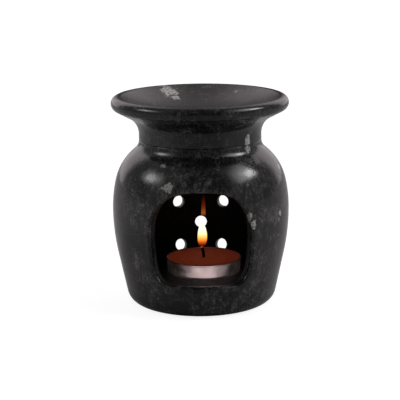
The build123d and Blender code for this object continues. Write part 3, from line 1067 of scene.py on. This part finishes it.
class Nodes:
    """Lays out the nodes of one material or of the world."""

    def __init__(self, tree: bpy.types.NodeTree) -> None:
        """Start with an empty tree."""
        self.tree = tree
        tree.nodes.clear()

    def put(self, node: bpy.types.Node, key: Union[str, int], value: object) -> None:
        """Set an input of a node to a value, or link it to another node's output."""
        if isinstance(value, Socket):
            self.tree.links.new(value, node.inputs[key])
        else:
            node.inputs[key].default_value = value

    def add(self, kind: str, inputs: Optional[dict[Union[str, int], object]] = None,
            **settings: object) -> bpy.types.Node:
        """Add a node.

        Args:
            kind: Blender's name for the node type.
            inputs: Values or output sockets for its inputs.
            **settings: Values for its own properties.

        Returns:
            The new node.
        """
        node = self.tree.nodes.new(kind)
        for key, value in settings.items():
            setattr(node, key, value)
        for key, value in (inputs or {}).items():
            self.put(node, key, value)
        return node

    def maths(self, operation: str, first: object, second: object = 0.0) -> Socket:
        """Add a calculation with one or two numbers."""
        return self.add("ShaderNodeMath", {0: first, 1: second}, operation=operation).outputs[0]

    def plus(self, first: object, second: object) -> Socket:
        """Add two numbers."""
        return self.maths("ADD", first, second)

    def times(self, first: object, *others: object) -> Socket:
        """Multiply numbers."""
        for other in others:
            first = self.maths("MULTIPLY", first, other)
        return first

    def off(self, value: Socket, middle: float) -> Socket:
        """Return how far a number is off a middle value, without its sign."""
        return self.maths("ABSOLUTE", self.maths("SUBTRACT", value, middle))

    def vector(self, operation: str, first: object, second: object = (0.0, 0.0, 0.0)) -> Socket:
        """Add a calculation with one or two vectors."""
        node = self.add("ShaderNodeVectorMath", {0: first, 1: second}, operation=operation)
        return node.outputs["Value" if operation == "LENGTH" else "Vector"]

    def blend(self, share: object, first: object, second: object) -> Socket:
        """Add a mix of two colours."""
        node = self.add("ShaderNodeMix", data_type="RGBA", clamp_factor=True)
        for key, value in ((MIX_SHARE, share), (MIX_FIRST, first), (MIX_SECOND, second)):
            self.put(node, key, (*value, 1.0) if isinstance(value, tuple) else value)
        return node.outputs[MIX_RESULT]

    def fit(self, value: object, low: float, high: float, out_low: object = 0.0, out_high: object = 1.0,
            smooth: bool = True) -> Socket:
        """Carry a value from one range to another, and hold it there."""
        node = self.add("ShaderNodeMapRange", {0: value, 1: low, 2: high, 3: out_low, 4: out_high})
        node.interpolation_type = "SMOOTHSTEP" if smooth else "LINEAR"
        return node.outputs[0]

    def choose(self, ray: Socket, otherwise: object, value: object) -> Socket:
        """Return one value for a kind of ray and another one for the rest."""
        return self.fit(ray, 0.0, 1.0, otherwise, value, smooth=False)

    def noise(self, place: Socket, size: float, detail: float, rough: float, output: str = "Fac") -> Socket:
        """Add cloudy noise, whose clouds are about so many millimetres across."""
        inputs = {"Vector": place, "Scale": 1.0 / size, "Detail": detail, "Roughness": rough}
        return self.add("ShaderNodeTexNoise", inputs).outputs[output]

    def stops(self, value: Socket, colours: Stops) -> Socket:
        """Add a colour ramp with stops of place and colour."""
        node = self.add("ShaderNodeValToRGB", {0: value})
        ramp = node.color_ramp
        while len(ramp.elements) < len(colours):
            ramp.elements.new(0.5)
        for element, (place, colour) in zip(ramp.elements, colours):
            element.position = place
            element.color = (*colour, 1.0)
        return node.outputs[0]

    def scaled(self, place: Socket, scale: Triple) -> Socket:
        """Stretch places along the axes."""
        return self.add("ShaderNodeMapping", {"Vector": place, "Scale": scale}).outputs[0]

    def object_place(self) -> Socket:
        """Return the place on the object."""
        return self.add("ShaderNodeTexCoord").outputs["Object"]

    def millimetres(self) -> Socket:
        """Return the place on the object, in millimetres."""
        return self.scaled(self.object_place(), (1.0 / MM, 1.0 / MM, 1.0 / MM))

    def mark(self) -> Socket:
        """Return the value kept on the mesh's points."""
        return self.add("ShaderNodeAttribute", attribute_name="mark").outputs["Fac"]

    def relief(self, height: Socket, strength: float, depth: float) -> Socket:
        """Add bumps of so many metres."""
        inputs = {"Height": height, "Strength": strength, "Distance": depth}
        return self.add("ShaderNodeBump", inputs).outputs[0]

    def rays(self) -> tuple[Socket, Socket, Socket]:
        """Return whether a ray is the camera's, is mirrored, and is seen by the eye at all."""
        path = self.add("ShaderNodeLightPath").outputs
        seen = self.maths("MAXIMUM", path["Is Camera Ray"], path["Is Transmission Ray"])
        return path["Is Camera Ray"], path["Is Glossy Ray"], seen

    def show(self, shader: bpy.types.Node, kind: str = "ShaderNodeOutputMaterial") -> None:
        """Add the output and feed a shader to it."""
        self.add(kind, {"Surface": shader.outputs[0]})

    def coat(self, inputs: dict[str, object]) -> None:
        """Add the shader of a solid surface and show it."""
        self.show(self.add("ShaderNodeBsdfPrincipled", inputs))


@dataclass(frozen=True)
class Finish:
    """Looks of one kind of surface, under the name of its material."""

    name: str

    def lay_out(self, nodes: Nodes) -> None:
        """Lay out the nodes."""
        raise NotImplementedError

    def dress(self) -> bpy.types.Material:
        """Make the material."""
        material = bpy.data.materials.new(self.name)
        material.use_nodes = True
        self.lay_out(Nodes(material.node_tree))
        return material


@dataclass(frozen=True)
class Splash:
    """A pale patch in the stone.

    Attributes:
        centre: Its middle.
        reach: Its size along each axis.
        strength: How white it gets, from 0 to 1.
        grain: Size of the ragged parts that it breaks up into.
        near: Distances, in reaches, where it starts and is full, before it is eaten away.
        eaten: How far the noise eats into it.
        edge: Values of the two together where it starts and is full.
        fleck_share: Size of its flecks, as a share of the ragged parts.
        flecks: Range of their noise, and the shares of white that it goes to.
        limit: Distances, in reaches, where it has ended for good and starts to.
    """

    centre: Triple
    reach: Triple
    strength: float
    grain: float
    near: Point = (1.1, 0.1)
    eaten: float = 2.5
    edge: Point = (0.42, 0.72)
    fleck_share: float = 0.35
    flecks: Quad = (0.36, 0.56, 0.3, 1.0)
    limit: Point = (1.25, 0.9)

    def white(self, nodes: Nodes, place: Socket) -> Socket:
        """Return its share of white: its nearness, eaten away and flecked by noise."""
        offset = nodes.vector("DIVIDE", nodes.vector("SUBTRACT", place, self.centre), self.reach)
        length = nodes.vector("LENGTH", offset)
        eaten = nodes.maths("SUBTRACT", nodes.noise(place, self.grain, 6.0, 0.7), 0.5)
        body = nodes.plus(nodes.fit(length, *self.near), nodes.times(eaten, self.eaten))
        flecks = nodes.fit(nodes.noise(place, self.grain * self.fleck_share, 3.0, 0.6), *self.flecks)
        inside = nodes.fit(length, *self.limit)
        return nodes.times(nodes.fit(body, *self.edge), flecks, inside, self.strength)


@dataclass(frozen=True)
class Marble(Finish):
    """Polished black marble: grey mottling in upright grain, curling threads and white splashes.

    Attributes:
        splashes: Its pale patches.
        dark: Colour of the ground.
        cloud: Colour of the mottling.
        thread: Colour of the threads.
        white: Colour of the pale patches.
        shaded_bore: Colour of the faces inside the openings and the chamber, which are unpolished, darkened
            to near black as painted shade of the hollow.
        polish: Roughness of the smoothest crystals, and how much the others and the clouds add.
        shaded_bore_share: How far the bored faces go to their painted-shade colour, and what they add to
            roughness.
        drift: Size and reach of the drift that bends the clouds, and its share at the splashes.
        layers: Size, detail and roughness of the clouds, the upright grain and the mottle.
        tones: Range of each layer's noise, and the tones that it goes to.
        upright: Stretch of the grain.
        curls: Size, width and strength of the wide threads.
        fine: Size, width and strength of the fine threads.
        patches: Range of the noise where the wide threads show.
        veils: Range of the clouds where the fine threads show.
        thread_tones: Range of the mottle, and how strong it lets the threads be.
        crystals: Range of the crystals' noise, from the smoothest to the roughest.
        haze: Range of the clouds that dull the polish.
        ripple: Size, strength and depth of the waves in the polish.
        bending: How strongly the stone bends light.
    """

    splashes: tuple[Splash, ...] = ()
    dark: Colour = (0.0055, 0.0053, 0.0056)
    cloud: Colour = (0.118, 0.110, 0.113)
    thread: Colour = (0.19, 0.18, 0.18)
    white: Colour = (0.62, 0.62, 0.60)
    shaded_bore: Colour = (0.0022, 0.0021, 0.0030)
    polish: Triple = (0.045, 0.26, 0.06)
    shaded_bore_share: Point = (0.85, 0.62)
    drift: Triple = (14.0, 14.0, 0.12)
    layers: tuple[Triple, ...] = ((15.0, 6.0, 0.6), (1.7, 5.0, 0.72), (4.2, 6.0, 0.7))
    tones: tuple[Quad, ...] = ((0.34, 0.68, 0.12, 1.0), (0.38, 0.68, 0.08, 1.0), (0.34, 0.66, 0.25, 1.35))
    upright: Triple = (1.0, 1.0, 0.38)
    curls: Triple = (8.0, 0.014, 0.8)
    fine: Triple = (3.6, 0.022, 0.5)
    patches: Point = (0.46, 0.60)
    veils: Point = (0.48, 0.62)
    thread_tones: Quad = (0.35, 0.6, 0.3, 1.0)
    crystals: Point = (0.47, 0.66)
    haze: Point = (0.46, 0.64)
    ripple: Triple = (2.4, 0.13, 0.0004)
    bending: float = 1.52

    @staticmethod
    def threads(nodes: Nodes, place: Socket, kind: Triple, where: Socket) -> Socket:
        """Add thin curling lines, which run where a cloudy noise passes through its middle value.

        Args:
            nodes: Nodes of the material.
            place: Place on the object.
            kind: Size of the curls, width of the lines and their strength.
            where: Share of them that is let through.

        Returns:
            Share of the threads' colour.
        """
        size, width, strength = kind
        line = nodes.fit(nodes.off(nodes.noise(place, size, 2.0, 0.5), 0.5), width, 0.0)
        return nodes.times(line, where, strength)

    def lay_out(self, nodes: Nodes) -> None:
        """Lay out the nodes."""
        place = nodes.millimetres()
        size, reach, share = self.drift
        wander = nodes.vector("SUBTRACT", nodes.noise(place, size, 3.0, 0.5, "Color"), (0.5, 0.5, 0.5))
        wander = nodes.vector("MULTIPLY", wander, (reach, reach, reach))
        warped = nodes.vector("ADD", place, wander)
        places = (warped, nodes.scaled(place, self.upright), warped)
        layers = [nodes.noise(where, *layer) for where, layer in zip(places, self.layers)]
        clouds, _, mottle = layers
        tone = nodes.times(*(nodes.fit(layer, *tones) for layer, tones in zip(layers, self.tones)))
        colour = nodes.blend(tone, self.dark, self.cloud)
        patchy = nodes.fit(nodes.noise(place, 11.0, 3.0, 0.6), *self.patches)
        curls = self.threads(nodes, warped, self.curls, patchy)
        fine = self.threads(nodes, place, self.fine, nodes.fit(clouds, *self.veils))
        lines = nodes.times(nodes.maths("MAXIMUM", curls, fine), nodes.fit(mottle, *self.thread_tones))
        colour = nodes.blend(lines, colour, self.thread)
        near = nodes.vector("ADD", place, nodes.vector("MULTIPLY", wander, (share, share, share)))
        for splash in self.splashes:
            colour = nodes.blend(splash.white(nodes, near), colour, self.white)
        # Painted shade: the mark darkens the chamber and the openings' linings towards near black, and also
        # makes them rougher.
        shaded_bore = nodes.mark()
        colour = nodes.blend(nodes.times(shaded_bore, self.shaded_bore_share[0]), colour, self.shaded_bore)
        smoothest, more, cloudy = self.polish
        sheen = nodes.fit(nodes.noise(place, 1.5, 5.0, 0.7), *self.crystals, smoothest, smoothest + more)
        sheen = nodes.plus(sheen, nodes.fit(clouds, *self.haze, 0.0, cloudy))
        rough = nodes.plus(sheen, nodes.times(shaded_bore, self.shaded_bore_share[1]))
        size, strength, depth = self.ripple
        waves = nodes.relief(nodes.noise(place, size, 5.0, 0.68), strength, depth)
        nodes.coat({"Base Color": colour, "Roughness": rough, "IOR": self.bending, "Normal": waves})


@dataclass(frozen=True)
class Tin(Finish):
    """Bright drawn aluminium with a satin face, tinted pink as a painted warm reflection of the flame and the
    wax.
    """

    # The pink in both colours is a painted warm reflection of the flame and the wax.
    colour: Colour = (0.92, 0.82, 0.81)
    smudged: Colour = (0.74, 0.66, 0.65)
    roughness: float = 0.33

    def lay_out(self, nodes: Nodes) -> None:
        """Lay out the nodes."""
        place = nodes.millimetres()
        smudge = nodes.noise(place, 5.0, 3.0, 0.5)
        colour = nodes.blend(nodes.fit(smudge, 0.35, 0.7, 0.0, 0.25), self.colour, self.smudged)
        rough = nodes.fit(smudge, 0.3, 0.7, self.roughness - 0.05, self.roughness + 0.06)
        dents = nodes.relief(nodes.noise(place, 0.9, 3.0, 0.6), 0.04, 0.0002)
        nodes.coat({"Base Color": colour, "Metallic": 1.0, "Roughness": rough, "Normal": dents})


@dataclass(frozen=True)
class Wax(Finish):
    """Red-brown wax with a wrinkled skin where it has set, and the flame's light painted on it as a glow,
    brightest round the wick.

    Attributes:
        seat: Middle of the cup's base.
        melted: Colour of the pool round the wick.
        firm: Colour towards the cup's side.
        fleck: Colour of the small flecks.
        wrinkled: Colour of the wrinkles.
        painted_flame_light: Colour and strength of the glow painted on the wax in place of the flame's light.
        pool: Distances from the middle where the pool starts to end and has ended.
        lap: Distance from the middle of the wrinkles.
        wander: Size and reach of the noise that bends the pool's edge.
    """

    seat: Triple
    melted: Colour = (0.26, 0.060, 0.028)
    firm: Colour = (0.33, 0.095, 0.050)
    fleck: Colour = (0.42, 0.16, 0.09)
    wrinkled: Colour = (0.62, 0.32, 0.20)
    painted_flame_light: tuple[Colour, float] = ((1.0, 0.14, 0.05), 0.075)
    pool: Point = (12.0, 17.5)
    lap: float = 13.2
    wander: Point = (4.0, 4.0)

    def lay_out(self, nodes: Nodes) -> None:
        """Lay out the nodes."""
        place = nodes.millimetres()
        moved = {"Vector": place, "Location": tuple(-v for v in self.seat)}
        centred = nodes.add("ShaderNodeMapping", moved).outputs[0]
        out = nodes.vector("LENGTH", nodes.scaled(centred, (1.0, 1.0, 0.0)))
        size, reach = self.wander
        ragged = nodes.plus(out, nodes.times(nodes.noise(place, size, 3.0, 0.5), reach))
        pool = nodes.fit(ragged, *self.pool)
        flecks = nodes.fit(nodes.noise(place, 0.8, 4.0, 0.6), 0.55, 0.75, 0.0, 0.3)
        colour = nodes.blend(flecks, nodes.blend(pool, self.melted, self.firm), self.fleck)
        broken = nodes.fit(nodes.noise(place, 3.2, 3.0, 0.6), 0.50, 0.62)
        wrinkle = nodes.times(nodes.fit(nodes.off(ragged, self.lap), 0.45, 0.0), broken)
        colour = nodes.blend(nodes.times(wrinkle, 0.7), colour, self.wrinkled)
        # Painted light: the emission stands for the flame's light on the wax, brighter towards the wick and
        # clouded.
        cloudy = nodes.fit(nodes.noise(place, 3.0, 4.0, 0.6), 0.3, 0.7, 0.75, 1.2)
        painted_glow_colour, strength = self.painted_flame_light
        height = nodes.plus(nodes.noise(place, 1.6, 4.0, 0.6), nodes.times(wrinkle, 1.5))
        nodes.coat({
            "Base Color": colour, "Roughness": nodes.fit(pool, 0.0, 1.0, 0.38, 0.52), "IOR": 1.44,
            "Subsurface Weight": 0.25, "Subsurface Radius": (0.004, 0.0015, 0.0008), "Subsurface Scale": 1.0,
            "Emission Color": (*painted_glow_colour, 1.0),
            "Emission Strength": nodes.times(cloudy, nodes.fit(out, 18.5, 8.0, 0.72, 1.0), strength),
            "Normal": nodes.relief(height, 0.12, 0.0003),
        })


@dataclass(frozen=True)
class PressedSteel(Finish):
    """Thin tinned steel with the marks of its pressing."""

    bright: Colour = (0.55, 0.55, 0.56)
    dull: Colour = (0.40, 0.39, 0.38)

    def lay_out(self, nodes: Nodes) -> None:
        """Lay out the nodes."""
        marks = nodes.noise(nodes.millimetres(), 0.7, 4.0, 0.6)
        colour = nodes.blend(nodes.fit(marks, 0.4, 0.7), self.bright, self.dull)
        nodes.coat({
            "Base Color": colour, "Metallic": 1.0, "Roughness": nodes.fit(marks, 0.3, 0.7, 0.25, 0.4),
            "Normal": nodes.relief(marks, 0.1, 0.0002),
        })


@dataclass(frozen=True)
class WickBraid(Finish):
    """Waxed cotton, charred black towards its free end, with a faint ember at the tip."""

    colours: Stops = (
        (0.0, (0.42, 0.34, 0.24)), (0.54, (0.30, 0.16, 0.08)),
        (0.62, (0.012, 0.008, 0.006)), (1.0, (0.006, 0.005, 0.005)),
    )
    ember: Colour = (1.0, 0.16, 0.02)

    def lay_out(self, nodes: Nodes) -> None:
        """Lay out the nodes."""
        share = nodes.mark()
        fibres = nodes.noise(nodes.millimetres(), 0.3, 4.0, 0.7)
        nodes.coat({
            "Base Color": nodes.stops(nodes.plus(share, nodes.times(fibres, 0.05)), self.colours),
            "Roughness": 0.85, "Emission Color": (*self.ember, 1.0),
            "Emission Strength": nodes.times(nodes.fit(share, 0.95, 1.0), nodes.fit(fibres, 0.45, 0.6)),
            "Normal": nodes.relief(fibres, 0.5, 0.0002),
        })


@dataclass(frozen=True)
class FlameGlow(Finish):
    """Burning gas: its colour and how clear it is follow the height along the flame.

    Attributes:
        colours: Colours by the share of its height.
        cover: How much it hides, by the share of its height.
        strength: Its radiance, and what of that a mirroring surface shows.
    """

    colours: Stops
    cover: tuple[Point, ...]
    strength: float
    mirrored: float = 0.2

    def lay_out(self, nodes: Nodes) -> None:
        """Lay out the nodes."""
        share = nodes.mark()
        ray = nodes.add("ShaderNodeLightPath").outputs["Is Glossy Ray"]
        glow = nodes.add("ShaderNodeEmission", {
            "Color": nodes.stops(share, self.colours),
            "Strength": nodes.choose(ray, self.strength, self.strength * self.mirrored),
        })
        cover = nodes.stops(share, tuple((place, (grey, grey, grey)) for place, grey in self.cover))
        clear = nodes.add("ShaderNodeBsdfTransparent")
        mixed = nodes.add("ShaderNodeMixShader", {0: cover, 1: clear.outputs[0], 2: glow.outputs[0]})
        nodes.show(mixed)


# Studio


@dataclass(frozen=True)
class RoomPatch:
    """A lit patch of the room, such as a soft box or a sheet of paper, with faded edges.

    Attributes:
        azimuth: Turn of its middle from the front, positive to the viewer's right.
        turns: Turns from its middle where it starts, is full, starts to fade and has faded out.
        heights: Elevations where it starts, is full, starts to fade and has faded out.
        strength: Its radiance, where white paper is 1.
    """

    azimuth: float
    turns: Quad
    heights: Quad
    strength: float

    def glow(self, nodes: Nodes, azimuth: Socket, elevation: Socket) -> Socket:
        """Return its radiance in a direction."""
        turn = nodes.maths("SUBTRACT", azimuth, self.azimuth)
        away = nodes.add("ShaderNodeMath", {0: turn, 1: 180.0, 2: -180.0}, operation="WRAP").outputs[0]
        level: object = self.strength
        for value, (start, full, fading, gone) in ((away, self.turns), (elevation, self.heights)):
            level = nodes.times(level, nodes.fit(value, start, full), nodes.fit(value, gone, fading))
        return level


@dataclass
class Studio:
    """The white floor, the room with its soft boxes, the tin's lamp and the camera.

    Attributes:
        eye: Place of the camera.
        pitch: How far the camera looks down, in radians.
        roll: How far the camera is turned about its own line of sight, in radians.
        focal_pixels: Distance of the picture plane, in pixels of the picture.
        frame_pixels: Width of the picture.
        paper: Tone of the floor to the eye.
        paper_bounced: Tone of the floor to the light that it throws back on the object.
        paper_mirrored: Tones of the floor in the polish, in front and at the sides.
        mirrored_turns: Turns from the front, in radians, where those two tones end and start.
        paper_white: Light that the eye alone sees on the floor.
        room: Radiance of the dim room.
        behind: Turns from the front where the patches behind start to be tinted and are fully so.
        behind_tint: Colour of the patches behind.
        patches: Lit patches of the room.
        tin_light: Power of the tin's lamp, in watts.
        tin_card: Width and height of the tin's lamp, in metres.
        tin_tint: Colour of the tin's lamp.
        tin_place: Place of the tin's lamp, in metres.
        tin_aim: Place that the tin's lamp points to, in metres.
    """

    eye: Triple = (-0.39, -682.0, 205.0)
    pitch: float = 0.2223
    roll: float = -0.0105
    focal_pixels: float = 1399.0
    frame_pixels: float = 400.0
    paper: float = 0.36
    paper_bounced: float = 0.60
    paper_mirrored: Point = (0.38, 0.70)
    mirrored_turns: Point = (0.35, 1.4)
    paper_white: float = 0.88
    room: float = 0.055
    behind: Point = (118.0, 150.0)
    behind_tint: Colour = (1.0, 0.90, 0.92)
    patches: tuple[RoomPatch, ...] = (
        RoomPatch(-92.0, (-65.0, -40.0, 40.0, 62.0), (-5.0, 0.0, 60.0, 90.0), 0.19),
        RoomPatch(92.0, (-62.0, -40.0, 40.0, 65.0), (-5.0, 0.0, 60.0, 90.0), 0.17),
        RoomPatch(-150.0, (-30.0, -8.0, 12.0, 28.0), (-2.0, 0.0, 20.0, 78.0), 0.95),
        RoomPatch(150.0, (-28.0, -12.0, 8.0, 30.0), (-2.0, 0.0, 20.0, 78.0), 0.95),
        RoomPatch(180.0, (-50.0, -25.0, 25.0, 50.0), (12.0, 45.0, 62.0, 88.0), 0.33),
        RoomPatch(-80.0, (-26.0, -6.0, 4.0, 26.0), (20.0, 31.0, 34.0, 48.0), 2.4),
        RoomPatch(80.0, (-36.0, 0.0, 12.0, 26.0), (25.0, 35.0, 39.0, 64.0), 4.0),
        RoomPatch(-83.0, (-10.0, -5.0, 5.0, 10.0), (23.0, 28.0, 36.0, 41.0), 2.6),
        RoomPatch(88.0, (-12.0, -6.0, 6.0, 12.0), (30.0, 35.0, 40.0, 45.0), 5.6),
    )
    tin_light: float = 0.31
    tin_card: Point = (0.36, 0.06)
    tin_tint: Colour = (1.0, 0.84, 0.85)
    tin_place: Triple = (0.014, -0.16, -0.012)
    tin_aim: Triple = (0.001, -0.019, 0.018)

    def camera(self) -> None:
        """Set the camera at the photograph's viewing angle."""
        data = bpy.data.cameras.new("camera")
        data.sensor_width = 36.0
        data.lens = self.focal_pixels / self.frame_pixels * data.sensor_width
        data.clip_start, data.clip_end = 0.01, 20.0
        camera = bpy.data.objects.new("camera", data)
        forward = np.array([0.0, math.cos(self.pitch), -math.sin(self.pitch)])
        right = np.array([1.0, 0.0, 0.0])
        up = np.array([0.0, math.sin(self.pitch), math.cos(self.pitch)])
        across = math.cos(self.roll) * right + math.sin(self.roll) * up
        upward = -math.sin(self.roll) * right + math.cos(self.roll) * up
        matrix = np.eye(4)
        matrix[:3] = np.stack([across, upward, -forward, np.array(self.eye) * MM], axis=-1)
        camera.matrix_world = Matrix(matrix.tolist())
        bpy.context.scene.collection.objects.link(camera)
        bpy.context.scene.camera = camera

    @staticmethod
    def azimuth(nodes: Nodes, parts: bpy.types.Node) -> Socket:
        """Return the turn from the front, in radians: the arctangent of x over negative y."""
        return nodes.maths("ARCTAN2", parts.outputs["X"], nodes.times(parts.outputs["Y"], -1.0))

    def floor(self) -> None:
        """Lay the white floor. The polished stone mirrors it dimly, and darker in front than at the sides."""
        bpy.ops.mesh.primitive_plane_add(size=12.0, location=(0.0, 0.0, 0.0))
        floor = bpy.context.object
        floor.name = "floor"
        material = bpy.data.materials.new("white_floor")
        material.use_nodes = True
        nodes = Nodes(material.node_tree)
        camera, glossy, seen = nodes.rays()
        parts = nodes.add("ShaderNodeSeparateXYZ", {0: nodes.object_place()})
        turn = nodes.maths("ABSOLUTE", self.azimuth(nodes, parts))
        mirrored = nodes.fit(turn, *self.mirrored_turns, *self.paper_mirrored)
        bounced = nodes.choose(camera, self.paper_bounced, self.paper)
        paper = nodes.add("ShaderNodeBsdfDiffuse", {"Color": nodes.choose(glossy, bounced, mirrored)})
        white = nodes.times(seen, self.paper_white)
        light = nodes.add("ShaderNodeEmission", {"Color": (1.0, 1.0, 1.0, 1.0), "Strength": white})
        both = nodes.add("ShaderNodeAddShader", {0: paper.outputs[0], 1: light.outputs[0]})
        nodes.show(both)
        floor.data.materials.append(material)
        floor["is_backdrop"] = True

    def world(self) -> None:
        """Make the room: white to the eye, and to the object a dim room with lit patches.

        A direction's azimuth is its turn from the front, and its elevation is the arcsine of its z,
        both in degrees.
        """
        world = bpy.data.worlds.new("room")
        bpy.context.scene.world = world
        world.use_nodes = True
        nodes = Nodes(world.node_tree)
        parts = nodes.add("ShaderNodeSeparateXYZ", {0: nodes.add("ShaderNodeTexCoord").outputs["Generated"]})
        azimuth = nodes.times(self.azimuth(nodes, parts), DEGREES)
        elevation = nodes.times(nodes.maths("ARCSINE", parts.outputs["Z"]), DEGREES)
        level: object = self.room
        for patch in self.patches:
            level = nodes.plus(level, patch.glow(nodes, azimuth, elevation))
        *_, seen = nodes.rays()
        behind = nodes.fit(nodes.maths("ABSOLUTE", azimuth), *self.behind)
        behind = nodes.times(behind, nodes.maths("SUBTRACT", 1.0, seen))
        backing = nodes.add("ShaderNodeBackground", {
            "Color": nodes.blend(behind, (1.0, 1.0, 1.0), self.behind_tint),
            "Strength": nodes.maths("MAXIMUM", level, seen),
        })
        nodes.show(backing, "ShaderNodeOutputWorld")

    def reflector(self, target: Piece) -> None:
        """Throw some light from the front on one piece alone, as a small card through the window does."""
        data = bpy.data.lights.new("reflector", "AREA")
        data.shape = "RECTANGLE"
        data.size, data.size_y = self.tin_card
        data.energy = self.tin_light
        data.color = self.tin_tint
        lamp = bpy.data.objects.new("reflector", data)
        lamp.location = self.tin_place
        line = Vector(self.tin_aim) - Vector(self.tin_place)
        lamp.rotation_euler = line.to_track_quat("-Z", "Y").to_euler()
        bpy.context.scene.collection.objects.link(lamp)
        lit = bpy.data.collections.new("lit_by_reflector")
        lit.objects.link(target)
        lamp.light_linking.receiver_collection = lit
        lamp.light_linking.blocker_collection = lit
        lamp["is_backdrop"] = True

    def build(self, tin: Piece) -> None:
        """Set up the whole studio."""
        self.camera()
        self.floor()
        self.world()
        self.reflector(tin)
        bpy.context.scene.view_settings.view_transform = "Standard"


# Pale patches in the stone, where the photograph shows them

POT_SPLASHES = (
    Splash((-15.8, -38.0, 65.4), (5.6, 5.0, 3.6), 0.62, 3.2),
    Splash((-17.6, -31.0, 74.4), (2.4, 2.6, 1.8), 0.55, 1.8),
    Splash((22.4, -34.6, 65.6), (1.2, 1.8, 0.9), 0.40, 1.2),
    Splash((27.2, -22.6, 74.8), (3.4, 3.4, 3.2), 0.25, 2.2),
    Splash((38.4, -9.0, 69.2), (1.5, 3.4, 2.2), 0.9, 2.4),
    Splash((38.5, -20.9, 48.8), (1.3, 2.6, 3.2), 0.85, 2.4),
    Splash((37.8, -22.2, 46.0), (0.9, 2.0, 1.8), 0.5, 1.2),
    Splash((22.9, -36.0, 50.2), (2.2, 3.8, 4.4), 0.85, 3.0),
    Splash((25.0, -36.0, 46.8), (2.6, 3.8, 4.2), 1.0, 3.0),
    Splash((22.9, -20.2, 80.4), (3.0, 3.6, 3.4), 0.8, 3.4),
)
DISH_SPLASHES = (
    Splash((-15.2, 30.0, 101.2), (7.4, 10.0, 4.2), 1.0, 3.4),
    Splash((-19.5, 35.0, 103.0), (5.0, 3.6, 2.2), 0.9, 2.6),
    Splash((-12.0, 24.0, 99.2), (3.6, 4.4, 2.4), 0.85, 3.0),
    Splash((18.7, 28.2, 101.3), (1.8, 3.0, 2.0), 0.4, 1.4),
    Splash((22.9, -19.8, 84.4), (3.4, 3.8, 5.6), 0.95, 3.8),
)
DISH_CLOUD = (0.062, 0.061, 0.062)
FLAME_BODY = FlameGlow(
    "flame_body",
    (
        (0.0, (0.35, 0.02, 0.004)), (0.14, (0.6, 0.06, 0.01)), (0.26, (0.95, 0.22, 0.02)),
        (0.38, (1.0, 0.55, 0.08)), (0.52, (1.0, 0.88, 0.42)), (0.68, (1.0, 0.96, 0.80)),
        (1.0, (1.0, 0.92, 0.75)),
    ),
    ((0.0, 0.0), (0.08, 0.15), (0.26, 0.75), (0.4, 0.95), (0.9, 0.95), (1.0, 0.3)),
    1.15,
)
FLAME_VEIL = FlameGlow(
    "flame_veil",
    (
        (0.0, (0.8, 0.12, 0.02)), (0.64, (1.0, 0.24, 0.045)), (0.77, (0.7, 0.08, 0.015)),
        (1.0, (0.30, 0.015, 0.004)),
    ),
    ((0.0, 0.0), (0.59, 0.0), (0.65, 0.22), (0.76, 0.12), (0.88, 0.05), (1.0, 0.0)),
    0.8,
)


def corners() -> list[list[float]]:
    """Return the lowest and highest corner of everything shown, as plain lists."""
    return [[float(v) for v in corner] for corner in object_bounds()]


def finish_piece(piece: Piece, finish: Finish, body: str, node: Optional[str] = None) -> None:
    """Dress a piece, let it ride on its body and hide the model's node that it stands for."""
    piece.data.materials.append(finish.dress())
    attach(piece, body)
    if node:
        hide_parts(node)
    log.info("%s rides on %s", piece.name, body)


def main() -> None:
    """Build the pieces in order, dress them and set up the studio."""
    logging.basicConfig(level=logging.INFO, format="%(name)s: %(message)s")
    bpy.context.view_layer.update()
    pot = Pot()
    finish_piece(pot.build(), Marble("pot_marble", POT_SPLASHES), "burner", "burner_body")
    dish_stone = Marble("dish_marble", DISH_SPLASHES, cloud=DISH_CLOUD)
    finish_piece(Dish(pot).build(), dish_stone, "dish", "oil_dish")
    tealight = Tealight()
    tin = tealight.build_cup()
    finish_piece(tin, Tin("tealight_tin"), "tealight", "tealight_cup")
    wax = Wax("tealight_wax", tealight.seat)
    finish_piece(tealight.build_wax(), wax, "tealight", "tealight_wax")
    steel, braid = PressedSteel("tealight_tab"), WickBraid("tealight_braid")
    finish_piece(tealight.build_tab(), steel, "tealight", "wick_tab")
    finish_piece(tealight.build_wick(), braid, "tealight", "tealight_wick")
    body = tealight.build_flame("flame_body", 2.4, 12.5, 25.6, (0.45, 0.72))
    finish_piece(body, FLAME_BODY, "tealight")
    veil = tealight.build_flame("flame_veil", 1.15, 12.0, 39.5, (0.2, 0.3))
    finish_piece(veil, FLAME_VEIL, "tealight")
    Studio().build(tin)


if __name__ == "__main__":
    main()
